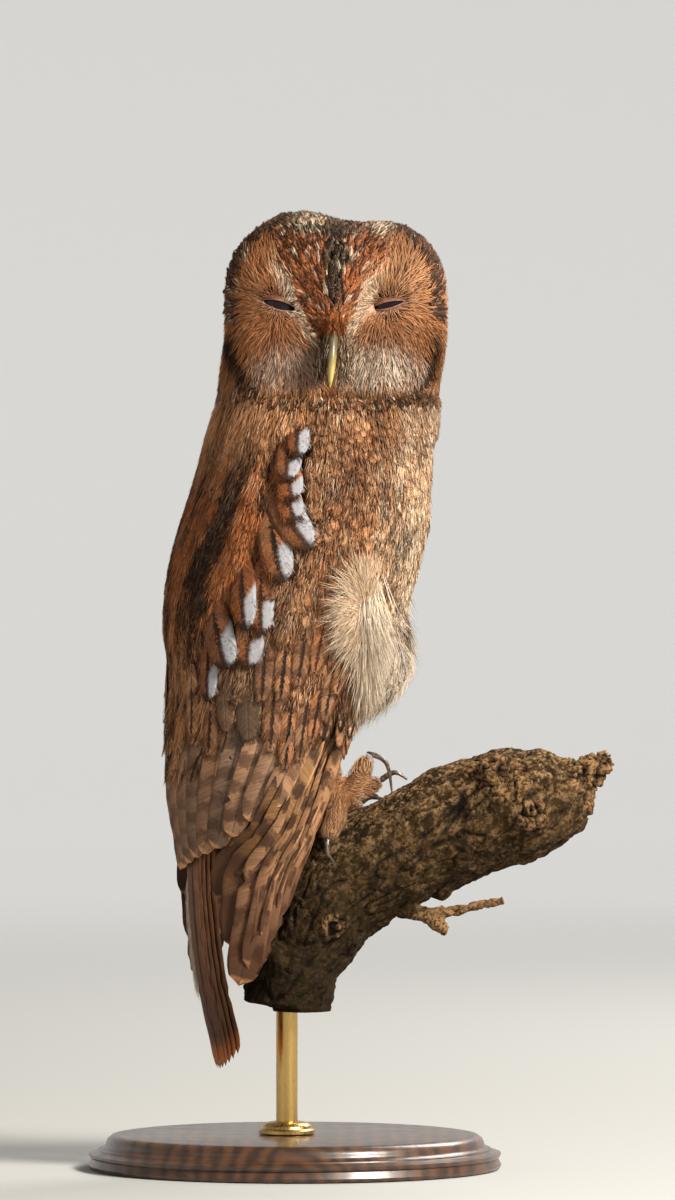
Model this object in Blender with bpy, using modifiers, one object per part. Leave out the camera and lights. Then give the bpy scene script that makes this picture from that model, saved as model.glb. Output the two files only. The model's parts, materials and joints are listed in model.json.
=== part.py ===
"""A tawny owl (Strix aluco) as a still, life-size display model on a cut branch and a stand.

The roosting bird stands upright and slim, its body side-on and its head turned to look along -Y.
Metres, +Z up. The origin is the middle of the stand's underside. Lengths below are written in
millimetres, as a taxidermist would measure them, and MM turns them into metres.

Words used for the bird: "ahead" is the way its breast points, "right" is its own right side,
and "round" is an angle about the body, 0 degrees at the breast and 180 degrees at the spine.
"""

import math

import bmesh
import bpy
from mathutils import Matrix, Vector

MM = 0.001
GAP = 0.35  # clearance kept between touching pieces
OWL = "tawny_owl"

# ---- driving dimensions, millimetres -------------------------------------------------------
BODY_TURN = math.radians(20)  # the breast points along +X, turned this far towards +Y
SHOULDER_X = 11.5  # where the leaning body axis crosses Y = 0
NECK_BASE_Z, HEAD_BASE_Z = 338.0, 357.0
HEAD_CENTRE = Vector((19.1, -4.0, 401.0))
HEAD_HALF_WIDTH, HEAD_UP, HEAD_DOWN = 51.2, 42.6, 62.0
HEAD_FRONT, HEAD_BACK = 39.5, 46.0
EYE_APART, EYE_RADIUS, EYE_DEPTH = 49.8, 10.5, 25.0
LID_OUT, SLIT_WIDTH, SLIT_HEIGHT = 12.0, 16.5, 3.4
COVERT_THICK, FLIGHT_THICK = 6.0, 3.2
WING_TOP_Z, COVERTS_END_Z, SECONDARIES_END_Z, WING_TIP_Z = 337.0, 214.0, 142.0, 87.0
TAIL_TOP_Z, TAIL_TIP_Z, TAIL_THICK = 190.0, 47.5, 3.0
BASE_RADIUS, BASE_HEIGHT = 96.0, 16.0
ROD_RADIUS, COLLAR_RADIUS, COLLAR_HEIGHT = 5.0, 13.0, 6.0

# The outside of the folded wings: height, body axis in X, then how far the surface lies behind,
# ahead and to the side of that axis.
CLOAK = (
    (360.0, 16.0, 51.5, 52.0, 43.0),
    (345.0, 13.4, 54.0, 54.4, 48.0),
    (320.0, 8.8, 55.3, 55.3, 55.0),
    (300.0, 5.1, 58.0, 58.2, 57.0),
    (278.0, 0.0, 58.7, 58.7, 57.5),
    (250.0, -5.0, 56.4, 56.5, 55.5),
    (227.0, -6.0, 54.6, 54.5, 52.5),
    (208.0, -11.0, 47.8, 52.5, 50.0),
    (190.0, -16.0, 42.4, 50.0, 48.0),
    (170.0, -20.0, 36.6, 47.0, 45.0),
    (150.0, -22.0, 30.9, 42.0, 41.5),
    (130.0, -23.0, 29.5, 36.0, 38.0),
    (110.0, -24.0, 26.5, 30.0, 35.0),
    (87.0, -25.0, 26.0, 28.0, 32.0),
    (40.0, -25.0, 26.0, 28.0, 30.0),
)
# The trunk below the ribs draws in towards the vent: height, behind, ahead, side.
BELLY = (
    (262.0, 59.0, 57.0, 55.0),
    (250.0, 57.0, 60.0, 53.0),
    (238.0, 54.0, 61.5, 50.0),
    (226.0, 50.0, 60.0, 46.0),
    (214.0, 42.5, 51.0, 40.0),
    (203.0, 35.0, 36.0, 33.0),
    (193.0, 28.0, 20.0, 26.0),
    (183.0, 23.0, 6.0, 19.0),
    (174.0, 18.0, -4.0, 10.0),
    (170.0, 14.0, -10.0, 3.0),
)
# Edges of the right wing as angles round the body at a height: leading edge, the line where
# primaries meet secondaries, and the trailing edge, which runs along the scapulars.
LEADING = (
    (350.0, 42.0), (333.0, 31.0), (318.0, 27.0), (300.0, 28.0), (278.0, 28.0), (262.0, 34.0),
    (241.0, 48.5), (227.0, 54.0), (212.0, 56.0), (200.0, 58.0), (190.0, 61.5), (176.0, 63.5),
    (162.0, 65.5), (148.0, 69.0), (135.0, 74.5), (126.0, 77.0), (112.0, 82.0), (98.0, 92.0),
    (88.0, 106.0), (80.0, 112.0),
)
HAND = (
    (214.0, 86.0), (195.0, 87.0), (180.0, 91.5), (166.0, 98.0), (154.0, 107.0), (141.0, 134.0),
    (120.0, 137.0), (100.0, 131.0), (80.0, 121.0),
)
TRAILING = (
    (350.0, 121.0), (299.0, 110.0), (285.0, 115.0), (262.0, 124.0), (243.0, 137.0),
    (228.0, 151.0), (215.0, 170.0), (205.0, 177.0), (80.0, 177.0),
)
LEFT_WING_RELAXED = 12.0  # degrees that the far wing's leading edge lies further back
# The perch: points along its middle (X, Y, Z) and its radius there, from the cut foot upwards.
PERCH = (
    (-3.7, -4.0, 73.5, 19.6),
    (-1.9, -4.0, 87.0, 21.6),
    (2.0, -4.0, 101.5, 22.6),
    (11.6, -4.0, 118.0, 25.5),
    (29.3, -4.5, 137.7, 26.6),
    (55.8, -6.0, 150.7, 27.2),
    (80.2, -9.0, 162.3, 27.4),
    (97.0, -11.0, 167.6, 28.2),
    (112.0, -13.0, 171.6, 25.8),
    (124.0, -15.0, 176.5, 21.5),
    (131.5, -16.0, 181.0, 13.5),
    (139.5, -16.5, 187.5, 7.0),
    (148.0, -17.0, 192.0, 5.0),
)
TWIG = ((46.0, -10.0, 122.0, 5.0), (59.0, -15.0, 119.0, 3.7), (77.0, -18.0, 121.0, 2.9), (97.0, -20.0, 125.5, 2.6))
SPUR = ((58.0, -15.0, 119.0, 3.0), (66.0, -18.0, 114.0, 3.8), (71.0, -19.0, 111.0, 3.0))
LUMPS = (  # knuckles and burrs on the perch: name, middle, radius
    ("knuckle", (35.0, -7.0, 120.0), 12.5),
    ("burr_top", (93.0, -31.0, 184.0), 8.5),
    ("burr_low", (102.0, -34.0, 164.0), 8.0),
    ("burr_under", (68.0, -12.0, 130.5), 6.5),
)

COLOURS = {  # base colour, roughness, metallic
    "feather_brown": ((0.20, 0.10, 0.055), 0.85, 0.0),
    "feather_face": ((0.33, 0.18, 0.10), 0.9, 0.0),
    "feather_pale": ((0.62, 0.50, 0.38), 0.9, 0.0),
    "flight_barred": ((0.15, 0.08, 0.045), 0.75, 0.0),
    "bill_horn": ((0.55, 0.47, 0.20), 0.35, 0.0),
    "claw_horn": ((0.10, 0.08, 0.06), 0.3, 0.0),
    "eyelid": ((0.36, 0.20, 0.19), 0.6, 0.0),
    "eye_dark": ((0.006, 0.005, 0.006), 0.05, 0.0),
    "bark": ((0.14, 0.10, 0.05), 0.95, 0.0),
    "stand_wood": ((0.055, 0.035, 0.022), 0.4, 0.0),
    "stand_brass": ((0.60, 0.42, 0.16), 0.3, 1.0),
}


# ---- small helpers -------------------------------------------------------------------------
def clear_scene():
    for obj in list(bpy.data.objects):
        bpy.data.objects.remove(obj)


def collection(name):
    made = bpy.data.collections.new(name)
    bpy.context.scene.collection.children.link(made)
    return made


def material(name):
    """The Principled material of that name, made the first time it is asked for."""
    found = bpy.data.materials.get(name)
    if found:
        return found
    colour, roughness, metallic = COLOURS[name]
    made = bpy.data.materials.new(name)
    made.use_nodes = True
    shader = made.node_tree.nodes["Principled BSDF"]
    shader.inputs["Base Color"].default_value = (*colour, 1.0)
    shader.inputs["Roughness"].default_value = roughness
    shader.inputs["Metallic"].default_value = metallic
    return made


def smooth_between(table, at, column=1):
    """A smooth curve through table's (key, value...) rows, which run downwards in key."""
    keys = [row[0] for row in table]
    values = [row[column] for row in table]
    if at >= keys[0]:
        return values[0]
    if at <= keys[-1]:
        return values[-1]
    i = next(n for n in range(len(keys) - 1) if keys[n + 1] <= at)
    before, after = max(i - 1, 0), min(i + 2, len(keys) - 1)
    span = keys[i + 1] - keys[i]
    start = (values[i + 1] - values[before]) / (keys[i + 1] - keys[before]) * span
    end = (values[after] - values[i]) / (keys[after] - keys[i]) * span
    t = (at - keys[i]) / span
    return (
        values[i] * (2 * t**3 - 3 * t**2 + 1)
        + start * (t**3 - 2 * t**2 + t)
        + values[i + 1] * (3 * t**2 - 2 * t**3)
        + end * (t**3 - t**2)
    )


def ramp(low, high, at):
    """0 below low, 1 above high, and smooth between."""
    t = min(max((at - low) / (high - low), 0.0), 1.0)
    return t * t * (3 - 2 * t)


def finish(bm, name, finish_name, group, smooth=True):
    """Turns a bmesh in millimetres into a named object in metres, its faces pointing out."""
    bmesh.ops.scale(bm, vec=(MM, MM, MM), verts=bm.verts)
    mesh = bpy.data.meshes.new(name)
    bm.to_mesh(mesh)
    bm.free()
    obj = bpy.data.objects.new(name, mesh)
    mesh.materials.append(material(finish_name))
    group.objects.link(obj)
    if smooth:
        mesh.shade_smooth()
    return obj


def ball(segments, rings, place):
    """A closed ball whose points go to place(angle, level), level 0 at its foot and 1 at its top."""
    bm = bmesh.new()
    bmesh.ops.create_uvsphere(bm, u_segments=segments, v_segments=rings, radius=1.0)
    for vert in bm.verts:
        level = 1 - math.acos(max(-1.0, min(1.0, vert.co.z))) / math.pi
        vert.co = place(math.atan2(vert.co.y, vert.co.x), level)
    bmesh.ops.recalc_face_normals(bm, faces=bm.faces)
    return bm


def sheet(columns, rows, place):
    """An open grid whose points go to place(across, down), both from 0 to 1."""
    bm = bmesh.new()
    bmesh.ops.create_grid(bm, x_segments=columns, y_segments=rows, size=0.5)
    for vert in bm.verts:
        vert.co = place(vert.co.x + 0.5, 0.5 - vert.co.y)
    return bm


def part_below(bm, height):
    """Keeps what lies below a level, closed with a flat face."""
    cut_flat(bm, height, keep_below=True)


def part_above(bm, height):
    """Keeps what lies above a level, closed with a flat face."""
    cut_flat(bm, height, keep_below=False)


def cut_flat(bm, height, keep_below):
    everything = bm.verts[:] + bm.edges[:] + bm.faces[:]
    cut = bmesh.ops.bisect_plane(
        bm,
        geom=everything,
        plane_co=(0, 0, height),
        plane_no=(0, 0, 1),
        clear_outer=keep_below,
        clear_inner=not keep_below,
    )
    rim = [item for item in cut["geom_cut"] if isinstance(item, bmesh.types.BMEdge)]
    bmesh.ops.holes_fill(bm, edges=rim, sides=0)
    bmesh.ops.recalc_face_normals(bm, faces=bm.faces)


def boolean(obj, other, operation):
    step = obj.modifiers.new(operation.lower() + "_" + other.name, "BOOLEAN")
    step.operation = operation
    step.object = other
    step.solver = "EXACT"


def helper(obj):
    """Marks a cutter, or a shape that another takes in, so that it isn't a piece itself."""
    obj.hide_render = True
    obj.display_type = "WIRE"
    return obj


def baked(obj):
    """Applies an object's modifiers to its mesh."""
    bpy.context.view_layer.update()
    graph = bpy.context.evaluated_depsgraph_get()
    mesh = bpy.data.meshes.new_from_object(obj.evaluated_get(graph))
    obj.modifiers.clear()
    obj.data = mesh
    return obj


def tube(name, points, finish_name, group, bevel_resolution=2, grow=0.0, flatten=None):
    """A round, tapering rod through (x, y, z, radius) points, as a closed mesh."""
    curve = bpy.data.curves.new(name + "_line", "CURVE")
    curve.dimensions = "3D"
    curve.bevel_depth = MM
    curve.bevel_resolution = bevel_resolution
    curve.use_fill_caps = True
    spline = curve.splines.new("POLY")
    spline.points.add(len(points) - 1)
    for point, (x, y, z, radius) in zip(spline.points, points):
        point.co = (x * MM, y * MM, z * MM, 1.0)
        point.radius = radius + grow
    line = bpy.data.objects.new(name + "_line", curve)
    group.objects.link(line)
    bpy.context.view_layer.update()
    graph = bpy.context.evaluated_depsgraph_get()
    mesh = bpy.data.meshes.new_from_object(line.evaluated_get(graph))
    bpy.data.objects.remove(line)
    bm = bmesh.new()
    bm.from_mesh(mesh)
    bmesh.ops.remove_doubles(bm, verts=bm.verts, dist=0.00001)
    bmesh.ops.recalc_face_normals(bm, faces=bm.faces)
    if flatten:
        centre, factor = flatten
        middle = Vector(centre) * MM
        bmesh.ops.scale(bm, vec=factor, verts=bm.verts, space=Matrix.Translation(-middle))
    bm.to_mesh(mesh)
    bm.free()
    mesh.materials.clear()
    mesh.materials.append(material(finish_name))
    mesh.shade_smooth()
    obj = bpy.data.objects.new(name, mesh)
    group.objects.link(obj)
    return obj


def longer(points, by):
    """The same line of points with each end carried on by that much."""
    first, second, before, last = (Vector(points[i][:3]) for i in (0, 1, -2, -1))
    start = first + (first - second).normalized() * by
    end = last + (last - before).normalized() * by
    return [(*start, points[0][3]), *points[1:-1], (*end, points[-1][3])]


def spline_through(points, steps):
    """A Catmull-Rom curve through points of any number of values, steps to each span."""
    rows = [Vector(p) for p in points]
    out = []
    for i in range(len(rows) - 1):
        a, b = rows[max(i - 1, 0)], rows[i]
        c, d = rows[i + 1], rows[min(i + 2, len(rows) - 1)]
        for n in range(steps):
            t = n / steps
            out.append(
                0.5 * (2 * b + (c - a) * t + (2 * a - 5 * b + 4 * c - d) * t * t + (3 * b - a - 3 * c + d) * t**3)
            )
    out.append(rows[-1])
    return out


# ---- where the body's surface lies ---------------------------------------------------------
AHEAD = Vector((math.cos(BODY_TURN), math.sin(BODY_TURN), 0.0))
RIGHT = Vector((math.sin(BODY_TURN), -math.cos(BODY_TURN), 0.0))


def axis_at(z):
    """The body's middle line. It leans back along the way the bird faces."""
    x = smooth_between(CLOAK, z, 1)
    return Vector((x, (x - SHOULDER_X) * math.tan(BODY_TURN), z))


def round_body(z, angle, behind, ahead, side):
    """A point at an angle round the body, on an oval that may be longer ahead than behind."""
    reach = ahead if math.cos(angle) > 0 else behind
    return axis_at(z) + AHEAD * (reach * math.cos(angle)) + RIGHT * (side * math.sin(angle))


def cloak(z, angle, inset=0.0):
    """The outer surface of the folded wings, or one that lies inset inside it."""
    behind, ahead, side = (smooth_between(CLOAK, z, n) - inset for n in (2, 3, 4))
    return round_body(z, angle, behind, ahead, side)


def wing_edges(z, right_side):
    """Leading and trailing edges of a wing at a height, in degrees round the body."""
    relaxed = 0.0 if right_side else LEFT_WING_RELAXED * ramp(190.0, 250.0, z)
    return smooth_between(LEADING, z) + relaxed, smooth_between(TRAILING, z)


def under_wing(z, angle):
    """How far the trunk's surface lies inside the wings' outer surface at that place."""
    degrees = math.degrees(angle)
    degrees = (degrees + 180) % 360 - 180
    leading, trailing = wing_edges(min(max(z, 218.0), WING_TOP_Z), degrees > 0)
    apart = abs(degrees)
    covered = ramp(leading - 24.0, leading - 11.0, apart) * (1 - ramp(trailing + 10.0, trailing + 22.0, apart))
    return (COVERT_THICK + 1.2) * covered


def trunk_point(angle, level):
    """The trunk, from the vent at level 0 up to a little over the base of the neck."""
    foot = BELLY[-1][0]
    z = foot + (NECK_BASE_Z + 12.0 - foot) * level
    rounding = min(1.0, math.sqrt(max(0.0, (1 - level) / 0.04)))
    inset = under_wing(z, angle)
    if z < BELLY[0][0]:
        behind, ahead, side = (smooth_between(BELLY, z, n) for n in (1, 2, 3))
        blend = ramp(BELLY[0][0] - 14.0, BELLY[0][0], z)
        high = [smooth_between(CLOAK, z, n) for n in (2, 3, 4)]
        behind, ahead, side = (a + (b - a) * blend for a, b in zip((behind, ahead, side), high))
        allowed = (smooth_between(CLOAK, z, 2), 99.0, smooth_between(CLOAK, z, 4))
        behind, ahead, side = (min(a, b) for a, b in zip((behind, ahead, side), allowed))
    else:
        behind, ahead, side = (smooth_between(CLOAK, z, n) for n in (2, 3, 4))
    if level == 0.0:
        return axis_at(z) - AHEAD * 12.0
    return round_body(z, angle, *((max(v, 0.5) - inset * ramp(0, 30, v)) * rounding for v in (behind, ahead, side)))


def neck_point(angle, level):
    """The neck, from a little inside the trunk up into the head."""
    z = NECK_BASE_Z - 12.0 + (HEAD_BASE_Z - NECK_BASE_Z + 24.0) * level
    rounding = min(1.0, math.sqrt(max(0.0, min(level, 1 - level) / 0.12)))
    return round_body(z, angle, *(max(smooth_between(CLOAK, z, n) * rounding, 0.5) for n in (2, 3, 4)))


def head_point(angle, level):
    """The head, round behind and nearly flat in front, with two dished facial discs."""
    z = -HEAD_DOWN + (HEAD_DOWN + HEAD_UP) * (1 - math.cos(math.pi * level)) / 2
    if z > 0:
        spread = max(0.0, 1 - (z / HEAD_UP) ** 2.7) ** (1 / 2.3)
    else:
        spread = max(0.0, 1 - (-z / HEAD_DOWN) ** 9) ** (1 / 2.3)
    across, away = math.cos(angle), math.sin(angle)
    depth = HEAD_FRONT if away < 0 else HEAD_BACK
    power = 2.9 if away < 0 else 2.2
    reach = (abs(across) ** power + abs(away) ** power) ** (-1 / power)
    x = HEAD_HALF_WIDTH * spread * reach * across
    y = depth * spread * reach * away
    if away < 0:
        facing = ramp(0.0, 0.45, -away)
        beside_eye = abs(x) - EYE_APART / 2
        y += 5.0 * facing * math.exp(-((beside_eye / 15) ** 2) - (z / 19) ** 2)
        y -= 4.5 * facing * math.exp(-((x / 8) ** 2)) * ramp(-44, -20, z) * (1 - ramp(5, 34, z))
    left_tuft = 2.3 * math.exp(-(((x + 27) / 14) ** 2))
    right_dip = 4.3 * math.exp(-(((x - 13) / 13) ** 2)) + 2.6 * math.exp(-(((x - 3) / 8) ** 2))
    z += ramp(20, HEAD_UP, z) * (left_tuft - right_dip)
    nape = 1 - ramp(-44.0, -12.0, z)
    return HEAD_CENTRE + Vector((x - 3.8 * nape, y + 2.5 * nape, z))


# ---- the bird ------------------------------------------------------------------------------
def make_head(group, cutters):
    bm = ball(28, 18, head_point)
    part_above(bm, HEAD_BASE_Z + GAP)
    head = finish(bm, "head", "feather_face", group)
    for side, sign in (("right", 1), ("left", -1)):
        make_eye(side, -sign, head, group, cutters)
    make_bill(head, group, cutters)
    return head


def eye_centre(sign):
    """sign is +1 for the eye on the +X side, which is the bird's left."""
    return HEAD_CENTRE + Vector((sign * EYE_APART / 2 - 1.2, -EYE_DEPTH + 1.6, -1.0))


def make_eye(side, sign, head, group, cutters):
    centre = eye_centre(sign)

    def globe(radius, name, finish_name, into, segments=12, rings=8):
        bm = bmesh.new()
        bmesh.ops.create_uvsphere(bm, u_segments=segments, v_segments=rings, radius=radius)
        bmesh.ops.rotate(bm, matrix=Matrix.Rotation(math.pi / 2, 3, "X"), verts=bm.verts)
        bmesh.ops.translate(bm, vec=centre, verts=bm.verts)
        return finish(bm, name, finish_name, into)

    globe(EYE_RADIUS, "eye_" + side, "eye_dark", group)
    lids = globe(LID_OUT, "eyelids_" + side, "eyelid", group)
    hollow = helper(globe(EYE_RADIUS + GAP, "cut_hollow_" + side, "eyelid", cutters))
    socket = helper(globe(LID_OUT + GAP, "cut_socket_" + side, "eyelid", cutters))
    slit = bmesh.new()
    bmesh.ops.create_uvsphere(slit, u_segments=12, v_segments=6, radius=1.0)
    bmesh.ops.scale(slit, vec=(SLIT_WIDTH / 2, 14.0, SLIT_HEIGHT / 2), verts=slit.verts)
    bmesh.ops.rotate(slit, matrix=Matrix.Rotation(sign * -0.12, 3, "Y"), verts=slit.verts)
    bmesh.ops.translate(slit, vec=centre + Vector((0, -9.0, 0)), verts=slit.verts)
    slit = helper(finish(slit, "cut_slit_" + side, "eyelid", cutters))
    boolean(lids, slit, "DIFFERENCE")
    boolean(lids, hollow, "DIFFERENCE")
    boolean(head, socket, "DIFFERENCE")


def make_bill(head, group, cutters):
    upper = [
        (18.0, -43.0, 388.0, 5.4),
        (17.9, -50.0, 385.0, 5.0),
        (17.6, -54.5, 379.0, 4.4),
        (17.2, -56.5, 372.0, 3.5),
        (16.7, -56.0, 366.0, 2.4),
        (16.3, -54.0, 361.3, 0.5),
    ]
    lower = [(17.4, -45.5, 377.0, 3.4), (17.2, -49.0, 371.5, 2.8), (16.9, -51.5, 367.0, 1.6)]
    narrow = ((17.4, -50.0, 375.0), (0.62, 1.0, 1.0))
    tube("bill_upper", spline_through(upper, 2), "bill_horn", group, 2, flatten=narrow)
    under = tube("bill_lower", spline_through(lower, 2), "bill_horn", group, 2, flatten=narrow)
    for points, name in ((upper, "cut_bill_upper"), (lower, "cut_bill_lower")):
        wide = ((17.4, -50.0, 375.0), (0.70, 1.0, 1.0))
        line = longer(spline_through(points, 2), 2 * GAP)
        cutter = tube(name, line, "bill_horn", cutters, 2, grow=GAP + 0.1, flatten=wide)
        boolean(head, helper(cutter), "DIFFERENCE")
        if name == "cut_bill_upper":
            boolean(under, cutter, "DIFFERENCE")


def make_trunk(group, cutters):
    body = ball(30, 21, trunk_point)
    part_below(body, NECK_BASE_Z - GAP)
    neck = ball(30, 10, neck_point)
    part_above(neck, NECK_BASE_Z)
    part_below(neck, HEAD_BASE_Z)
    finish(neck, "neck", "feather_brown", group)
    return finish(body, "trunk", "feather_pale", group)


def wing_sheet(right_side, top, foot, first, last, thickness, name, finish_name, group, cells):
    """A thick sheet on the wings' surface. first and last give its edges in degrees at a height,
    and foot gives the height of its lower edge at a place across it."""
    side = 1 if right_side else -1

    def place(across, down):
        z = top + (foot(across) - top) * down
        degrees = first(z) + (last(z) - first(z)) * across
        lift = -1.6 * math.sin(math.pi * min(across * 1.15, 1.0)) * ramp(214.0, 150.0, z) if z < 214 else 0.0
        return cloak(z, side * math.radians(degrees), lift)

    bm = sheet(*cells, place)
    face = min(bm.faces, key=lambda f: abs(f.calc_center_median().z - (top + foot(0.5)) / 2))
    middle = face.calc_center_median()
    face.normal_update()
    if face.normal.dot(middle - axis_at(middle.z)) < 0:
        bmesh.ops.reverse_faces(bm, faces=bm.faces)
    wing = finish(bm, name, finish_name, group)
    wall = wing.modifiers.new("thickness", "SOLIDIFY")
    wall.thickness = thickness * MM
    wall.offset = -1.0
    wall.use_even_offset = True
    return baked(wing)


def make_wing(side, group):
    right_side = side == "right"

    def leading(z):
        return wing_edges(z, right_side)[0]

    def trailing(z):
        return wing_edges(z, right_side)[1]

    def hand(z):
        return max(smooth_between(HAND, z), leading(z) + 6.0)

    def tips(across):
        return SECONDARIES_END_Z + 3.5 * abs(math.sin(across * 5 * math.pi)) + 8.0 * ramp(0.72, 1.0, across)

    wing_sheet(
        right_side, WING_TOP_Z, lambda across: COVERTS_END_Z, leading, trailing,
        COVERT_THICK, "wing_" + side, "feather_brown", group, (9, 11),
    )  # fmt: skip
    wing_sheet(
        right_side, COVERTS_END_Z - GAP, tips, lambda z: hand(z) + 1.6, trailing,
        FLIGHT_THICK, "secondaries_" + side, "flight_barred", group, (11, 5),
    )  # fmt: skip
    wing_sheet(
        right_side, COVERTS_END_Z - GAP, lambda across: WING_TIP_Z + 2.0 * abs(across - 0.4), leading, hand,
        FLIGHT_THICK, "primaries_" + side, "flight_barred", group, (6, 11),
    )  # fmt: skip


def tail_middle(z):
    """How far behind the body's axis the tail's middle lies at a height."""
    return smooth_between(((200.0, 27.0), (170.0, 25.0), (150.0, 22.0), (134.0, 21.0), (96.0, 15.5), (64.0, 8.0), (40.0, 3.0)), z)


def make_tail(group):
    def place(across, down):
        offset = 2 * across - 1
        tip = TAIL_TIP_Z + 9.0 * offset**2 + 2.0 * abs(math.sin(across * 6 * math.pi)) * abs(offset)
        z = TAIL_TOP_Z + (tip - TAIL_TOP_Z) * down
        half = smooth_between(((200.0, 10.0), (170.0, 13.5), (140.0, 17.0), (100.0, 19.5), (60.0, 21.0), (40.0, 20.5)), z)
        arch = 3.2 * (1 - offset**2)
        return axis_at(z) - AHEAD * (tail_middle(z) + arch) + RIGHT * (half * offset)

    bm = sheet(8, 9, place)
    tail = finish(bm, "tail", "flight_barred", group)
    wall = tail.modifiers.new("thickness", "SOLIDIFY")
    wall.thickness = TAIL_THICK * MM
    wall.offset = 0.0
    baked(tail)
    fix = bmesh.new()
    fix.from_mesh(tail.data)
    bmesh.ops.recalc_face_normals(fix, faces=fix.faces)
    fix.to_mesh(tail.data)
    fix.free()


# ---- the perch and what grips it -----------------------------------------------------------
PERCH_LINE = spline_through(PERCH, 4)


def perch_lumps(along, angle):
    """Slow swellings of the old bark, in millimetres."""
    return 0.9 * math.sin(along * 0.9 + 2 * angle) + 0.6 * math.sin(along * 1.7 - 3 * angle + 1.0)


def perch_frame(along):
    """Middle, radius and the up and near directions of the perch, along counted in line points."""
    along = min(max(along, 0.0), len(PERCH_LINE) - 1.001)
    i = int(along)
    here = PERCH_LINE[i].lerp(PERCH_LINE[i + 1], along - i)
    ahead = PERCH_LINE[min(i + 2, len(PERCH_LINE) - 1)] - PERCH_LINE[max(i - 1, 0)]
    along_dir = Vector(ahead[:3]).normalized()
    near = along_dir.cross(Vector((-1.0, 0.0, 1.2))).normalized()
    if near.y > 0:
        near = -near
    up = near.cross(along_dir).normalized()
    if up.z < 0 and up.x > 0:
        up = -up
    return Vector(here[:3]), here[3], up, near


def make_perch(group, cutters):
    count = len(PERCH_LINE) - 1

    def place(angle, level):
        along = min(max(level * 1.04 - 0.02, 0.0), 1.0) * count
        ends = min(1.0, max(0.0, level / 0.02), max(0.0, (1 - level) / 0.02))
        middle, radius, up, near = perch_frame(along)
        out = up * math.cos(angle) + near * math.sin(angle)
        ragged = 1 + 0.16 * math.sin(5 * angle + 1.0) * ramp(0.86, 1.0, level)
        return middle + out * ((radius + perch_lumps(along, angle)) * ragged * ends)

    bm = ball(15, 27, place)
    part_above(bm, PERCH[0][2] + 0.5)
    perch = finish(bm, "perch_branch", "bark", group)
    for name, points in (("join_twig", TWIG), ("join_spur", SPUR)):
        boolean(perch, helper(tube(name, spline_through(points, 3), "bark", cutters)), "UNION")
    for name, middle, radius in LUMPS:
        bm = bmesh.new()
        bmesh.ops.create_icosphere(bm, subdivisions=1, radius=radius)
        bmesh.ops.translate(bm, vec=middle, verts=bm.verts)
        boolean(perch, helper(finish(bm, "join_" + name, "bark", cutters)), "UNION")


# A place on a toe is (X, Y, Z, height over the bark): its middle is moved in or out until it
# stands that high over the bark, or is left alone where the height is None. Then come the
# places on its claw. Toe 1 points back and toe 4 out to the side.
PALM_RADIUS, TOE_RADIUS, CLAW_RADIUS, BARK_SWELL = 7.0, 5.0, 1.6, 0.9
FEET = {
    "right": (
        (20.0, -15.0, 171.0, 7.8),
        {
            1: (((10, -12, 166, 6.0), (3, -11, 158, 5.4)), ((-3, -11, 151, 4.0), (-9, -11, 141, 0.8))),
            2: (((28, -16, 180, None), (32.5, -17, 189.5, None)), ((42.5, -18, 189, None), (43.5, -18.5, 178, 0.8))),
            3: (((29, -10, 177, 6.0), (35.5, -10, 180, 6.0)), ((46, -10, 185, 6.5), (52.5, -9.5, 180, 0.8))),
            4: (((18.5, -25, 166, 6.2), (16.0, -29, 158, 6.0)), ((14, -35, 149, 5.0), (17.5, -34, 144, 1.0))),
        },
    ),
    "left": (
        (9.0, 14.0, 166.0, 7.8),
        {
            1: (((1, 13, 160, 6.0), (-6, 12, 153, 5.4)), ((-11, 12, 145, 4.0), (-14, 11, 136, 0.8))),
            2: (((17, 10, 170, 6.0), (24, 7, 173, 5.8)), ((31, 5, 176, 5.6), (38, 4, 175, 0.8))),
            3: (((18, 17, 169, 6.0), (26, 17, 172, 5.8)), ((34, 16, 176, 5.6), (42, 15, 175, 0.8))),
            4: (((8, 22, 161, 6.0), (8, 26, 152, 5.6)), ((8, 28, 145, 4.6), (9, 27, 137, 0.8))),
        },
    ),
}


def over_bark(x, y, z, height):
    """Moves a point straight towards or away from the perch's middle line, to a height over it."""
    here = Vector((x, y, z))
    if height is None:
        return here
    at = min(PERCH_LINE, key=lambda row: (Vector(row[:3]) - here).length)
    i = list(PERCH_LINE).index(at)
    along = Vector((PERCH_LINE[i + 1] - PERCH_LINE[i - 1])[:3]).normalized()
    away = here - Vector(at[:3])
    middle = Vector(at[:3]) + along * away.dot(along)
    out = (here - middle).normalized()
    return middle + out * (at[3] + BARK_SWELL + height)


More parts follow.
